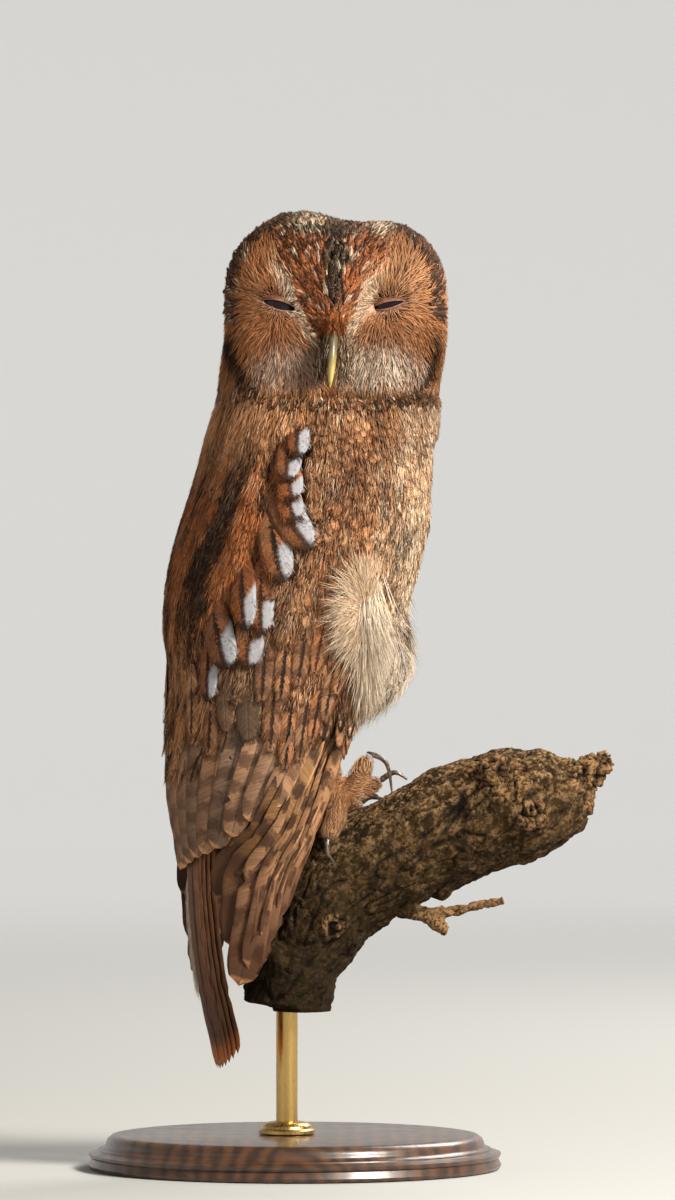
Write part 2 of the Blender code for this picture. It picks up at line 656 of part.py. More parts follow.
def make_foot(side, group, cutters):
    """A feathered foot of one palm and four toes, and its four bare claws."""
    palm_place, toes = FEET[side]
    palm_at = over_bark(*palm_place)
    bm = bmesh.new()
    bmesh.ops.create_icosphere(bm, subdivisions=1, radius=PALM_RADIUS)
    bmesh.ops.translate(bm, vec=palm_at, verts=bm.verts)
    palm = finish(bm, "foot_" + side, "feather_pale", group)
    for number, (toe, claw) in toes.items():
        first, last = (over_bark(*place) for place in toe)
        forward = (last - first).normalized()
        knuckles = [(*palm_at, TOE_RADIUS), (*first, TOE_RADIUS), (*last, TOE_RADIUS - 0.3)]
        line = spline_through(knuckles, 2)
        line += [(*(last + forward * by), radius) for by, radius in ((2.6, 3.5), (3.8, 1.9))]
        name = f"toe_{side}_{number}"
        shape = tube("join_" + name, line, "feather_pale", cutters, 1)
        boolean(palm, helper(shape), "UNION")
        bend, tip = (over_bark(*place) for place in claw)
        points = [(*(last + forward * by), CLAW_RADIUS) for by in (1.0, 3.8)]
        points += [(*bend, CLAW_RADIUS * 0.72), (*tip, 0.25)]
        made = tube(f"claw_{side}_{number}", spline_through(points, 3), "claw_horn", group, 0)
        cutter = tube("cut_" + name, longer(line, GAP), "feather_pale", cutters, 1, grow=GAP)
        boolean(made, helper(cutter), "DIFFERENCE")
    return palm_at


def make_leg(side, thigh_at, palm_at, trunk, group, cutters):
    """A feathered thigh and shank, from inside the trunk's fluff down to the foot."""
    ankle = palm_at + (thigh_at - palm_at).normalized() * (PALM_RADIUS + GAP + 0.3)
    knee = thigh_at.lerp(ankle, 0.5)
    points = spline_through([(*thigh_at, 13.5), (*knee, 11.0), (*ankle, 5.6)], 2)
    tube("leg_" + side, points, "feather_pale", group, 2)
    cutter = tube("cut_leg_" + side, longer(points, GAP), "feather_pale", cutters, 2, grow=GAP)
    boolean(trunk, helper(cutter), "DIFFERENCE")


# ---- the stand -----------------------------------------------------------------------------
def disc(name, radius, low, high, edge, x, y, finish_name, group, sides=16):
    """An upright round plate with bevelled rims."""
    bm = bmesh.new()
    bmesh.ops.create_cone(
        bm, cap_ends=True, segments=sides, radius1=radius, radius2=radius, depth=high - low
    )
    bmesh.ops.translate(bm, vec=(x, y, (low + high) / 2), verts=bm.verts)
    rims = [e for e in bm.edges if abs(e.verts[0].co.z - e.verts[1].co.z) < 1e-6]
    bmesh.ops.bevel(bm, geom=rims, offset=edge, affect="EDGES", segments=1, profile=0.5, material=-1)
    made = finish(bm, name, finish_name, group)
    made.data.set_sharp_from_angle(angle=math.radians(35))
    return made


def make_stand(group, cutters):
    foot = PERCH[0]
    disc("stand_base", BASE_RADIUS, 0.0, BASE_HEIGHT, 1.5, 0.0, 0.0, "stand_wood", group, 40)
    rod_low = BASE_HEIGHT + GAP
    disc("stand_rod", ROD_RADIUS, rod_low, foot[2], 0.4, foot[0], foot[1], "stand_brass", group)
    collar = disc(
        "stand_collar", COLLAR_RADIUS, rod_low, rod_low + COLLAR_HEIGHT, 1.0, foot[0], foot[1], "stand_brass", group
    )
    bm = bmesh.new()
    bmesh.ops.create_cone(
        bm, cap_ends=True, segments=16, radius1=ROD_RADIUS + GAP, radius2=ROD_RADIUS + GAP, depth=3 * COLLAR_HEIGHT
    )
    bmesh.ops.translate(bm, vec=(foot[0], foot[1], rod_low + COLLAR_HEIGHT / 2), verts=bm.verts)
    boolean(collar, helper(finish(bm, "cut_rod", "stand_brass", cutters)), "DIFFERENCE")


def main():
    clear_scene()
    group, cutters = collection(OWL), collection("cutters")
    make_head(group, cutters)
    trunk = make_trunk(group, cutters)
    for side in ("right", "left"):
        make_wing(side, group)
    make_tail(group)
    make_perch(group, cutters)
    for side, thigh in (("right", (10.0, 14.0)), ("left", (18.0, -14.0))):
        palm_at = make_foot(side, group, cutters)
        thigh_at = axis_at(208.0) + AHEAD * thigh[0] + RIGHT * thigh[1]
        make_leg(side, thigh_at, palm_at, trunk, group, cutters)
    make_stand(group, cutters)


main()
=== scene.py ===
# %% [markdown]
# # A tawny owl on a cut limb
# The real thing is a mounted bird: a body under layers of feathers, a round head with a dished face,
# glassy dark eyes behind lids that are nearly shut, and two feathered feet on an old limb. Each cell
# makes one of these, from the inside outwards.

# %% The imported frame
import itertools
import json
import math

import bmesh
import bpy
import numpy as np
from mathutils import Matrix, Vector
from mathutils.bvhtree import BVHTree
from mathutils.kdtree import KDTree

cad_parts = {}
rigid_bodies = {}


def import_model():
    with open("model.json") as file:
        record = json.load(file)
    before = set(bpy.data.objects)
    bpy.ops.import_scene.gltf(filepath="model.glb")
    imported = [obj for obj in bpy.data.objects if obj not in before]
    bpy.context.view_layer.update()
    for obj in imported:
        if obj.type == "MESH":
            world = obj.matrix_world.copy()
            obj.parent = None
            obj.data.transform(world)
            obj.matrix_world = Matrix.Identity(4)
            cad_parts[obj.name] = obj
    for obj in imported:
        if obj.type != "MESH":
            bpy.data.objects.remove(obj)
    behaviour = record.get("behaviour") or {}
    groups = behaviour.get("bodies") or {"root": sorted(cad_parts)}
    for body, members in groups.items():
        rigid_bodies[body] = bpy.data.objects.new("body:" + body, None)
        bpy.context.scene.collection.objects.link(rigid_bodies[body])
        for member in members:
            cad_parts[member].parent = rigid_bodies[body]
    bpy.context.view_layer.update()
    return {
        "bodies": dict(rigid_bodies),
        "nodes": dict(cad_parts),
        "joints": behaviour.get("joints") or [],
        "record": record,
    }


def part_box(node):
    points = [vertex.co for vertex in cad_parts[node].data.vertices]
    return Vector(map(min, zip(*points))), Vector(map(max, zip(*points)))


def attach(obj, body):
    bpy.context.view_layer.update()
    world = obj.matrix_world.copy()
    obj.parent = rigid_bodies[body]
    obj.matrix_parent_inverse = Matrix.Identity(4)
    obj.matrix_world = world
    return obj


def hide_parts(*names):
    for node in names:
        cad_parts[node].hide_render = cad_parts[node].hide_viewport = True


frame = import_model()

MM = 0.001
NODES = frame["nodes"]
scene = bpy.context.scene
SIDES = {"right": 1, "left": -1}  # the bird's own right wing is the near one


def box_mm(node):
    return [np.array(corner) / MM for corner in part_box(node)]


# %% [markdown]
# ## Camera, light and floor
# A long lens from far away keeps the bird's proportions. One large soft lamp stands up and to the
# right, a weaker one fills from the left, and the pale sky does the rest. The floor curves up into a
# low wall all round, so no edge shows behind the stand from any side.

# %% Camera
VIEW_HEIGHT, VIEW_DISTANCE, VIEW_MIDDLE = 558.0, 3500.0, (19.8, 264.2)
camera = bpy.data.objects.new("camera", bpy.data.cameras.new("camera"))
scene.collection.objects.link(camera)
scene.camera = camera
camera.data.sensor_width = 36.0
camera.data.lens = camera.data.sensor_width * VIEW_DISTANCE / VIEW_HEIGHT
camera.location = (VIEW_MIDDLE[0] * MM, -VIEW_DISTANCE * MM, VIEW_MIDDLE[1] * MM)
camera.rotation_euler = (math.radians(90), 0, 0)
camera.data.clip_end = 30
scene.view_settings.view_transform = "Standard"

# %% Lamps and sky
for name, place, size, watts, colour in (
    ("key", (1.30, -1.15, 1.35), 0.55, 92, (1.0, 0.95, 0.86)),
    ("fill", (-1.7, -1.6, 0.5), 1.6, 4, (0.97, 0.98, 1.0)),
    ("rim", (0.9, 1.2, 1.3), 0.8, 24, (1.0, 0.97, 0.92)),
):
    lamp = bpy.data.objects.new(name, bpy.data.lights.new(name, "AREA"))
    lamp.data.size, lamp.data.energy, lamp.data.color = size, watts, colour
    lamp.location = place
    lamp.rotation_euler = (Vector(place) - Vector((0.02, 0, 0.27))).to_track_quat("Z", "Y").to_euler()
    lamp.visible_camera = False
    scene.collection.objects.link(lamp)
scene.world = bpy.data.worlds.new("sky")
scene.world.use_nodes = True
sky = scene.world.node_tree.nodes["Background"].inputs
sky["Color"].default_value, sky["Strength"].default_value = (0.97, 0.92, 0.84, 1), 0.27


# %% Small mesh helpers
def piece_from(bm, name):
    """A smooth object at the origin from a bmesh, which it frees."""
    mesh = bpy.data.meshes.new(name)
    bm.to_mesh(mesh)
    bm.free()
    mesh.shade_smooth()
    made = bpy.data.objects.new(name, mesh)
    scene.collection.objects.link(made)
    return made


def baked(piece):
    """The same object with its modifiers made real."""
    graph = bpy.context.evaluated_depsgraph_get()
    mesh = bpy.data.meshes.new_from_object(piece.evaluated_get(graph))
    piece.modifiers.clear()
    piece.data = mesh
    mesh.name = piece.name
    mesh.shade_smooth()
    return piece


def finished(piece, replaced, finish):
    """Says what a piece rides on, what it stands for and what it is made of."""
    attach(piece, "root")
    if replaced:
        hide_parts(*replaced)
    piece.data.materials.clear()
    piece.data.materials.append(finish.material)
    faces = np.empty(len(piece.data.polygons), dtype=np.int32)
    piece.data.polygons.foreach_get("loop_total", faces)
    print(f"{piece.name}: {int((faces - 2).sum())} triangles")


def points_of(mesh, what="co"):
    """A mesh's points in millimetres, or its normals, as rows of three."""
    rows = np.empty(len(mesh.vertices) * 3, dtype=np.float32)
    mesh.vertices.foreach_get(what, rows)
    return rows.reshape(-1, 3).astype(float) / (MM if what == "co" else 1.0)


def move_points(mesh, points):
    mesh.vertices.foreach_set("co", (points * MM).astype(np.float32).ravel())
    mesh.update()


def paint(mesh, colours, name="ground"):
    """Stores a colour or any three numbers at each point."""
    layer = mesh.attributes.new(name, "FLOAT_VECTOR", "POINT")
    layer.data.foreach_set("vector", np.ascontiguousarray(colours[:, :3], dtype=np.float32).ravel())


def spun(bm, verts, middle, steps):
    """Turns a row of points round an upright line into a closed round shape."""
    edges = [bm.edges.new(pair) for pair in zip(verts, verts[1:])]
    bmesh.ops.spin(
        bm, geom=verts + edges, cent=middle, axis=(0, 0, 1), dvec=(0, 0, 0), angle=math.tau, steps=steps,
        use_merge=True, use_duplicate=False,
    )  # fmt: skip
    bmesh.ops.remove_doubles(bm, verts=bm.verts, dist=1e-6)
    bmesh.ops.recalc_face_normals(bm, faces=bm.faces)


def next_ring(bm, edges):
    """Extrudes a ring of edges, and gives the new ring's points and edges."""
    grown = bmesh.ops.extrude_edge_only(bm, edges=edges)["geom"]
    return [[g for g in grown if isinstance(g, kind)] for kind in (bmesh.types.BMVert, bmesh.types.BMEdge)]


# %% [markdown]
# ## Writing materials as sums
# A material is a net of nodes. A small class wraps one socket so that sums on it are written as
# Python sums, and another makes any other node from its kind, settings and sockets.

# %% The shader notebook
class Wire:
    """One output socket, with which sums can be written."""

    def __init__(self, finish, socket):
        self.finish, self.socket = finish, socket

    def sum(self, operation, *values):
        return self.finish.node("ShaderNodeMath", {"operation": operation}, dict(enumerate(values)))

    def __add__(self, other):
        return self.sum("ADD", self, other)

    def __sub__(self, other):
        return self.sum("SUBTRACT", self, other)

    def __rsub__(self, other):
        return self.sum("SUBTRACT", other, self)

    def __mul__(self, other):
        return self.sum("MULTIPLY", self, other)

    def __pow__(self, other):
        return self.sum("POWER", self, other)

    def __abs__(self):
        return self.sum("ABSOLUTE", self)

    __radd__, __rmul__ = __add__, __mul__

    def wave(self):
        """0 to 1 and back for each whole number."""
        return self.sum("SINE", self * math.tau) * 0.5 + 0.5

    def rise(self, low, high, to_low=0.0, to_high=1.0):
        """to_low below low, to_high above high, and smooth between."""
        return self.finish.node(
            "ShaderNodeMapRange", {"interpolation_type": "SMOOTHSTEP"},
            {"Value": self, "From Min": low, "From Max": high, "To Min": to_low, "To Max": to_high},
        )  # fmt: skip


class Finish:
    """A material, and the one method that makes its nodes."""

    def __init__(self, name):
        self.material = bpy.data.materials.new(name)
        self.material.use_nodes = True
        self.tree = self.material.node_tree

    def node(self, kind, settings=(), inputs=(), out=0):
        made = self.tree.nodes.new(kind)
        for key, value in dict(settings).items():
            setattr(made, key, value)
        for key, value in dict(inputs).items():
            self.plug(made.inputs[key], value)
        return Wire(self, made.outputs[out])

    def plug(self, socket, value):
        if isinstance(value, Wire):
            self.tree.links.new(value.socket, socket)
        else:
            socket.default_value = value

    def set(self, **inputs):
        for key, value in inputs.items():
            self.plug(self.tree.nodes["Principled BSDF"].inputs[key.replace("_", " ")], value)
        return self

    def attribute(self, name, out="Vector"):
        return self.node("ShaderNodeAttribute", {"attribute_name": name}, out=out)

    def parts(self, vector):
        split = self.node("ShaderNodeSeparateXYZ", inputs={0: vector}).socket.node
        return [Wire(self, split.outputs[n]) for n in range(3)]

    def mix(self, factor, low, high):
        return self.node("ShaderNodeMix", {"data_type": "RGBA"}, {0: factor, 6: low, 7: high}, out=2)

    def over(self, colour, *layers):
        """Lays paints over a colour, each as (part, paint)."""
        for part, coat in layers:
            colour = self.mix(part, colour, coat)
        return colour

    def place(self):
        return self.node("ShaderNodeTexCoord", out="Object")

    def noise(self, size, detail=2.0, rough=0.5, stretch=None):
        """Cloudy values about 0.5, with features of a size in millimetres."""
        where = self.place()
        if stretch is not None:
            where = self.node("ShaderNodeVectorMath", {"operation": "MULTIPLY"}, {0: where, 1: stretch})
        inputs = {"Vector": where, "Scale": 1 / (size * MM), "Detail": detail, "Roughness": rough}
        return self.node("ShaderNodeTexNoise", inputs=inputs)

    def barbs(self, slant, lane):
        """Fine lines that run slantwise from a feather's shaft."""
        where = self.node("ShaderNodeCombineXYZ", inputs={0: slant, 1: lane})
        inputs = {"Vector": where, "Scale": 1.0, "Detail": 2.0, "Roughness": 0.6}
        return self.node("ShaderNodeTexNoise", {"noise_dimensions": "2D"}, inputs)

    def bump(self, height, deep):
        """A normal from a height of 0 to 1 that stands for so many millimetres."""
        return self.node("ShaderNodeBump", inputs={"Height": height, "Distance": deep * MM, "Strength": 1.0})


def tone(red, green, blue):
    """A paint mixed on a 0 to 255 scale, as the light it throws back."""
    levels = [v / 255 for v in (red, green, blue)]
    return (*(v / 12.92 if v <= 0.04045 else ((v + 0.055) / 1.055) ** 2.4 for v in levels), 1.0)


# %% [markdown]
# ## The studio floor
# A wide round sheet with a rim that bends up, spun from half its section. Far from the stand the paper
# glows a little, as a lit backdrop does, so that floor and wall melt together.

# %% Floor
def sweep_floor():
    flat, bend, wall = 5.0, 1.2, 1.4
    section = [(reach, 0.0) for reach in (0.0, 0.5, 1.5, 3.0)]
    turns = np.linspace(0, math.pi / 2, 12)
    section += [(flat + bend * math.sin(t), bend * (1 - math.cos(t))) for t in turns]
    bm = bmesh.new()
    verts = [bm.verts.new((reach, 0, height)) for reach, height in section + [(flat + bend, bend + wall)]]
    spun(bm, verts, (0, 0, 0), 96)
    floor = piece_from(bm, "studio_floor")
    paper = Finish("studio_paper")
    x, y, z = paper.parts(paper.place())
    far = ((x * x + y * y) ** 0.5).rise(0.2, 3.4) * (1.0 - z.rise(0.0, 2.4) * 0.3)
    colour = paper.mix(paper.noise(2.5, 3), (0.42, 0.42, 0.41, 1), (0.45, 0.45, 0.44, 1))
    glow = paper.mix(far, (0, 0, 0, 1), (0.46, 0.46, 0.45, 1))
    paper.set(Base_Color=colour, Roughness=0.9, Emission_Color=glow, Emission_Strength=1.0)
    floor.data.materials.append(paper.material)


sweep_floor()

# %% [markdown]
# ## The body's plan
# The bird faces a little away to the right, its axis leans, and every height has an oval section.
# The plan lets a marking or a feather be placed by height and by degrees round the body, 0 at the
# breast and 180 at the spine.

# %% Plan tables, in millimetres and degrees
BODY_TURN = math.radians(20)
AHEAD = np.array((math.cos(BODY_TURN), math.sin(BODY_TURN), 0.0))
RIGHT = np.array((math.sin(BODY_TURN), -math.cos(BODY_TURN), 0.0))
DOWN = np.array((0.0, 0.0, -1.0))
SHOULDER_X = 11.5
OVALS = (  # height, axis, and how far the oval reaches behind, ahead and to the sides
    (360, 16.0, 51.5, 52.0, 43.0), (345, 13.4, 54.0, 54.4, 48.0), (320, 8.8, 55.3, 55.3, 55.0),
    (300, 5.1, 58.0, 58.2, 57.0), (278, 0.0, 58.7, 58.7, 57.5), (250, -5.0, 56.4, 56.5, 55.5),
    (227, -6.0, 54.6, 54.5, 52.5), (208, -11.0, 47.8, 52.5, 50.0), (190, -16.0, 42.4, 50.0, 48.0),
    (170, -20.0, 36.6, 47.0, 45.0), (150, -22.0, 30.9, 42.0, 41.5), (130, -23.0, 29.5, 36.0, 38.0),
    (110, -24.0, 26.5, 30.0, 35.0), (87, -25.0, 26.0, 28.0, 32.0), (40, -25.0, 26.0, 28.0, 30.0),
)  # fmt: skip
AXIS, BEHIND, IN_FRONT, ASIDE = 1, 2, 3, 4  # the columns of OVALS
# each line on the wing has rows of height and degrees
LEADING = (
    (350, 42), (333, 31), (318, 27), (300, 28), (278, 28), (262, 34), (241, 48.5), (227, 54), (212, 56),
    (200, 58), (190, 61.5), (176, 63.5), (162, 65.5), (148, 69), (135, 74.5), (126, 77), (112, 82), (98, 92),
    (88, 106), (80, 112),
)  # fmt: skip
HAND = (
    (214, 86), (195, 87), (180, 91.5), (166, 98), (154, 107), (141, 134), (120, 137), (100, 131), (80, 121),
)  # fmt: skip
TRAILING = ((350, 121), (299, 110), (285, 115), (262, 124), (243, 137), (228, 151), (215, 170), (205, 177))
PALE = (  # where the breast's cream gives way to the wing's browns
    (357, 62), (340, 72), (320, 74), (300, 71), (285, 66), (268, 58), (255, 48), (240, 42), (215, 58),
    (200, 60),
)  # fmt: skip
SCAPULARS = (
    (350, 114), (339, 118), (318, 116), (300, 113), (285, 121), (262, 133), (244, 141), (229, 147),
    (205, 158),
)  # fmt: skip
OVERLAP = {"right": 18, "left": -14}  # degrees past the spine by which the near wing lies over the far one


def curve_through(table, at, column=1):
    """A smooth curve through a table's rows, read at every height in an array."""
    rows = np.array(sorted(map(tuple, table)), dtype=float)
    keys, values = rows[:, 0], rows[:, column]
    slopes = np.gradient(values, keys)
    at = np.clip(at, keys[0], keys[-1])
    i = np.clip(np.searchsorted(keys, at) - 1, 0, len(keys) - 2)
    span = keys[i + 1] - keys[i]
    t = (at - keys[i]) / span
    start, end = slopes[i] * span, slopes[i + 1] * span
    return (
        values[i] * (2 * t**3 - 3 * t**2 + 1) + start * (t**3 - 2 * t**2 + t)
        + values[i + 1] * (3 * t**2 - 2 * t**3) + end * (t**3 - t**2)
    )  # fmt: skip


def ramp(low, high, at):
    """0 at low, 1 at high, and smooth between."""
    t = np.clip((at - low) / (high - low), 0, 1)
    return t * t * (3 - 2 * t)


def bell(at, middle, spread):
    return np.exp(-(((at - middle) / spread) ** 2))


def unit(rows):
    return rows / np.maximum(np.linalg.norm(rows, axis=-1, keepdims=True), 1e-9)


def dot(a, b):
    return (a * b).sum(axis=-1)


def times(weights, rows):
    return weights[..., None] * rows


def along_surface(ways, normals):
    """Directions laid flat on a surface."""
    return unit(ways - times(dot(ways, normals), normals))


def axis_at(z):
    x = curve_through(OVALS, z, AXIS)
    return np.stack([x, (x - SHOULDER_X) * math.tan(BODY_TURN), z], axis=-1)


def body_point(z, degrees, proud=0.0):
    """Points on the folded wings' outer surface, or so much proud of it."""
    z, degrees = np.broadcast_arrays(np.asarray(z, float), np.asarray(degrees, float))
    turn = np.radians(degrees)
    behind, ahead, side = (curve_through(OVALS, z, n) + proud for n in (BEHIND, IN_FRONT, ASIDE))
    reach = np.where(np.cos(turn) > 0, ahead, behind)
    return axis_at(z) + times(reach * np.cos(turn), AHEAD) + times(side * np.sin(turn), RIGHT)


def round_body(points):
    """Height and degrees round the body of points; the bird's right side counts as positive."""
    z = points[..., 2]
    away = points - axis_at(z)
    fore, aside = dot(away, AHEAD), dot(away, RIGHT)
    reach = np.where(fore > 0, curve_through(OVALS, z, IN_FRONT), curve_through(OVALS, z, BEHIND))
    return z, np.degrees(np.arctan2(aside / curve_through(OVALS, z, ASIDE), fore / reach))


def mottle(points, size, seed):
    """Smooth random values from 0 to 1 over space, with features of a size in millimetres."""
    grid = points / size + seed * 17.31
    low = np.floor(grid).astype(np.int64)
    part = grid - low
    part = part * part * (3 - 2 * part)
    total = 0.0
    for corner in itertools.product((0, 1), repeat=3):
        x, y, z = (low + corner).T
        mixed = (x * 73856093) ^ (y * 19349663) ^ (z * 83492791) ^ (seed * 2654435761)
        mixed = ((mixed & 0xFFFFFFF) * 1103515245 + 12345) & 0x7FFFFFFF
        mixed = ((mixed >> 7) * 1103515245 + 12345) & 0x7FFFFFFF
        weight = np.prod(np.where(corner, part, 1 - part), axis=1)
        total = total + weight * (mixed / 0x7FFFFFFF)
    return total


def lanes_down(points, squeeze, size, seed):
    """A mottle drawn out along the lie of the feathers."""
    z, degrees = round_body(points)
    around = body_point(0 * z + 280, degrees + np.sign(degrees) * 0.2 * (z - 280))
    return mottle(np.stack([around[:, 0], around[:, 1], z * squeeze], 1), size, seed)


# %% [markdown]
# ## The form and the skin
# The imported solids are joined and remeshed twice. The form is the surface that feather tips reach.
# The skin is the flesh pulled in by the coat's depth, so that no seam between neck, wing and leg
# shows where feathers part.

# %% Form and owners
FEET = ["leg_left", "leg_right", "foot_left", "foot_right"]
FLESH = ["head", "neck", "trunk", "wing_left", "wing_right"] + FEET
FLIGHT = ["secondaries_left", "secondaries_right", "primaries_left", "primaries_right", "tail"]
FAR_OFF = 400.0


def joined_copy(names, title, swell):
    """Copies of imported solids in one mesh, grown a little so that the cuts between them close."""
    bm = bmesh.new()
    for name in names:
        bm.from_mesh(NODES[name].data)
    bmesh.ops.remove_doubles(bm, verts=bm.verts, dist=1e-6)
    bm.normal_update()
    for vert in bm.verts:
        vert.co += vert.normal * swell * MM
    return piece_from(bm, title)


def softened(piece, passes):
    soften = piece.modifiers.new("soften", "SMOOTH")
    soften.factor, soften.iterations = 0.5, passes
    return baked(piece)


def remeshed(piece, voxel, passes):
    remesh = piece.modifiers.new("voxels", "REMESH")
    remesh.mode, remesh.voxel_size = "VOXEL", voxel * MM
    return softened(piece, passes)


class Surface:
    """A piece's mesh that can be asked for its nearest point and normal, in millimetres."""

    def __init__(self, piece, keep=False):
        mesh = piece.data
        mesh.calc_loop_triangles()
        self.points = points_of(mesh)
        corners = np.empty(len(mesh.loop_triangles) * 3, dtype=np.int32)
        mesh.loop_triangles.foreach_get("vertices", corners)
        self.triangles = corners.reshape(-1, 3)
        self.tree = BVHTree.FromPolygons(self.points.tolist(), self.triangles.tolist())
        self.normals = points_of(mesh, "normal")
        if not keep:
            bpy.data.objects.remove(piece)

    def nearest(self, points):
        """Nearest points on the surface, smoothed normals there, and distances."""
        hits = [self.tree.find_nearest(Vector(p)) for p in points]
        places, faces, apart = (np.array([hit[n] for hit in hits]) for n in (0, 2, 3))
        return places, unit(self.normals[self.triangles[faces]].mean(axis=1)), apart

    def from_side(self, x, z):
        """The first surface point met from the near side at a place across and up."""
        return np.array(self.tree.ray_cast(Vector((x, -FAR_OFF, z)), Vector((0, 1, 0)))[0])


def rump_patch():
    """A thick sheet just under the plan's surface over the spine, where the two wing tips leave a gap."""
    bm = bmesh.new()
    for sunk in (-2.0, -8.0):
        for vert in bmesh.ops.create_grid(bm, x_segments=30, y_segments=24, size=1)["verts"]:
            vert.co = Vector(body_point(228 + 26 * vert.co.y, 180 + 40 * vert.co.x, sunk)) * MM
    bmesh.ops.bridge_loops(bm, edges=[edge for edge in bm.edges if edge.is_boundary])
    bmesh.ops.recalc_face_normals(bm, faces=bm.faces)
    return piece_from(bm, "rump_patch")


whole = bmesh.new()
for part in (joined_copy(FLESH + FLIGHT + ["eyelids_left", "eyelids_right"], "solids", 0.4), rump_patch()):
    whole.from_mesh(part.data)
    bpy.data.objects.remove(part)
form = Surface(remeshed(piece_from(whole, "form"), 2.0, 5))
owners = {name: Surface(joined_copy([name], "lookup_" + name, 0)) for name in FLESH + FLIGHT}
print("form points:", len(form.points))


def owner_of(points):
    """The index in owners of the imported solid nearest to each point."""
    return np.argmin([surface.nearest(points)[2] for surface in owners.values()], axis=0)


def among(owner, names):
    return np.isin(owner, [list(owners).index(name) for name in names])


# %% [markdown]
# ## Colours of the bird
# A tawny owl is painted in a few earths: umber streaks on a rufous back, cream and buff below,
# white webs on the shoulder feathers. The same functions colour the skin and each feather's root,
# so the coat and what lies under it carry one set of markings.

# %% Paints
UMBER, SOOT, GREY_BROWN = tone(62, 34, 16), tone(26, 17, 12), tone(104, 80, 62)
RUFOUS, CHESTNUT, FAWN = tone(172, 98, 48), tone(122, 68, 34), tone(206, 146, 100)
BUFF, CREAM, WHITE = tone(222, 174, 128), tone(242, 218, 188), tone(206, 200, 196)
WEB_WHITE, LEG_TAN, CROWN_CREAM = tone(152, 152, 158), tone(164, 112, 70), tone(255, 238, 208)
ROOT_SHADE = (0.02, 0.012, 0.008, 1)


def blend(parts, low, high):
    """Mixes rows of colour by an array of parts."""
    parts = np.clip(parts, 0, 1)[..., None]
    return np.asarray(low) * (1 - parts) + np.asarray(high) * parts


def layered(ground, *layers):
    """Lays paints over a ground, each as (part, paint)."""
    for part, colour in layers:
        ground = blend(part, ground, colour)
    return ground


# %% Where the head's own places are
EYES = {side: sum(box_mm("eye_" + side)) / 2 for side in SIDES}
EYE_RADIUS = np.ptp([corner[0] for corner in box_mm("eye_left")]) / 2
FACE_MIDDLE = (EYES["left"] + EYES["right"]) / 2
HEAD_MIDDLE_Y = -4.0
SLIT_HALF, SLIT_RISE, EYE_ASIDE = 7.7, 0.23, 25
BILL_ROOT = FACE_MIDDLE + (0.1, -16.0, -11.0)
BROWS = (  # height, and how far the brow's inner edge lies to the left and the right of the bill line
    (378, 3.5, 3.0), (383, 6.5, 5.0), (390, 11.5, 7.5), (400, 17.0, 12.5), (408, 19.5, 17.0),
    (416, 24.0, 23.0), (430, 28.0, 27.0),
)  # fmt: skip
print("eyes:", {side: place.round(1).tolist() for side, place in EYES.items()})
print("eye radius:", round(EYE_RADIUS, 1))


def face_places(points):
    """Across from the bill line, up from the eyes, ahead of the head's middle, and away from a slit."""
    across = points[..., 0] - FACE_MIDDLE[0]
    away = []
    for eye in EYES.values():
        aside = points[..., 0] - eye[0]
        tall = points[..., 2] - eye[2] - SLIT_RISE * np.sign(across) * aside
        almond = 2.3 * np.sqrt(np.clip(1 - (aside / SLIT_HALF) ** 2, 0, 1))
        away.append(np.hypot(np.maximum(abs(aside) - SLIT_HALF, 0), tall) - almond)
    return across, points[..., 2] - FACE_MIDDLE[2], HEAD_MIDDLE_Y - points[..., 1], np.minimum(*away)


def beside_brow(points):
    """How far a point lies outside the line of its brow, and how far up the forehead it is."""
    across, up, _, _ = face_places(points)
    left, right = (curve_through(BROWS, points[..., 2], column) for column in (1, 2))
    return np.where(across < 0, -across - left, across - right), ramp(-22, -14, up) * (1 - ramp(7, 20, up))


def crown_light(across, up):
    """How much of a cream patch beside the crown's middle a place has."""
    return ramp(29, 33, up) * (bell(across, -8.5, 8) + 0.8 * bell(across, 19, 6))


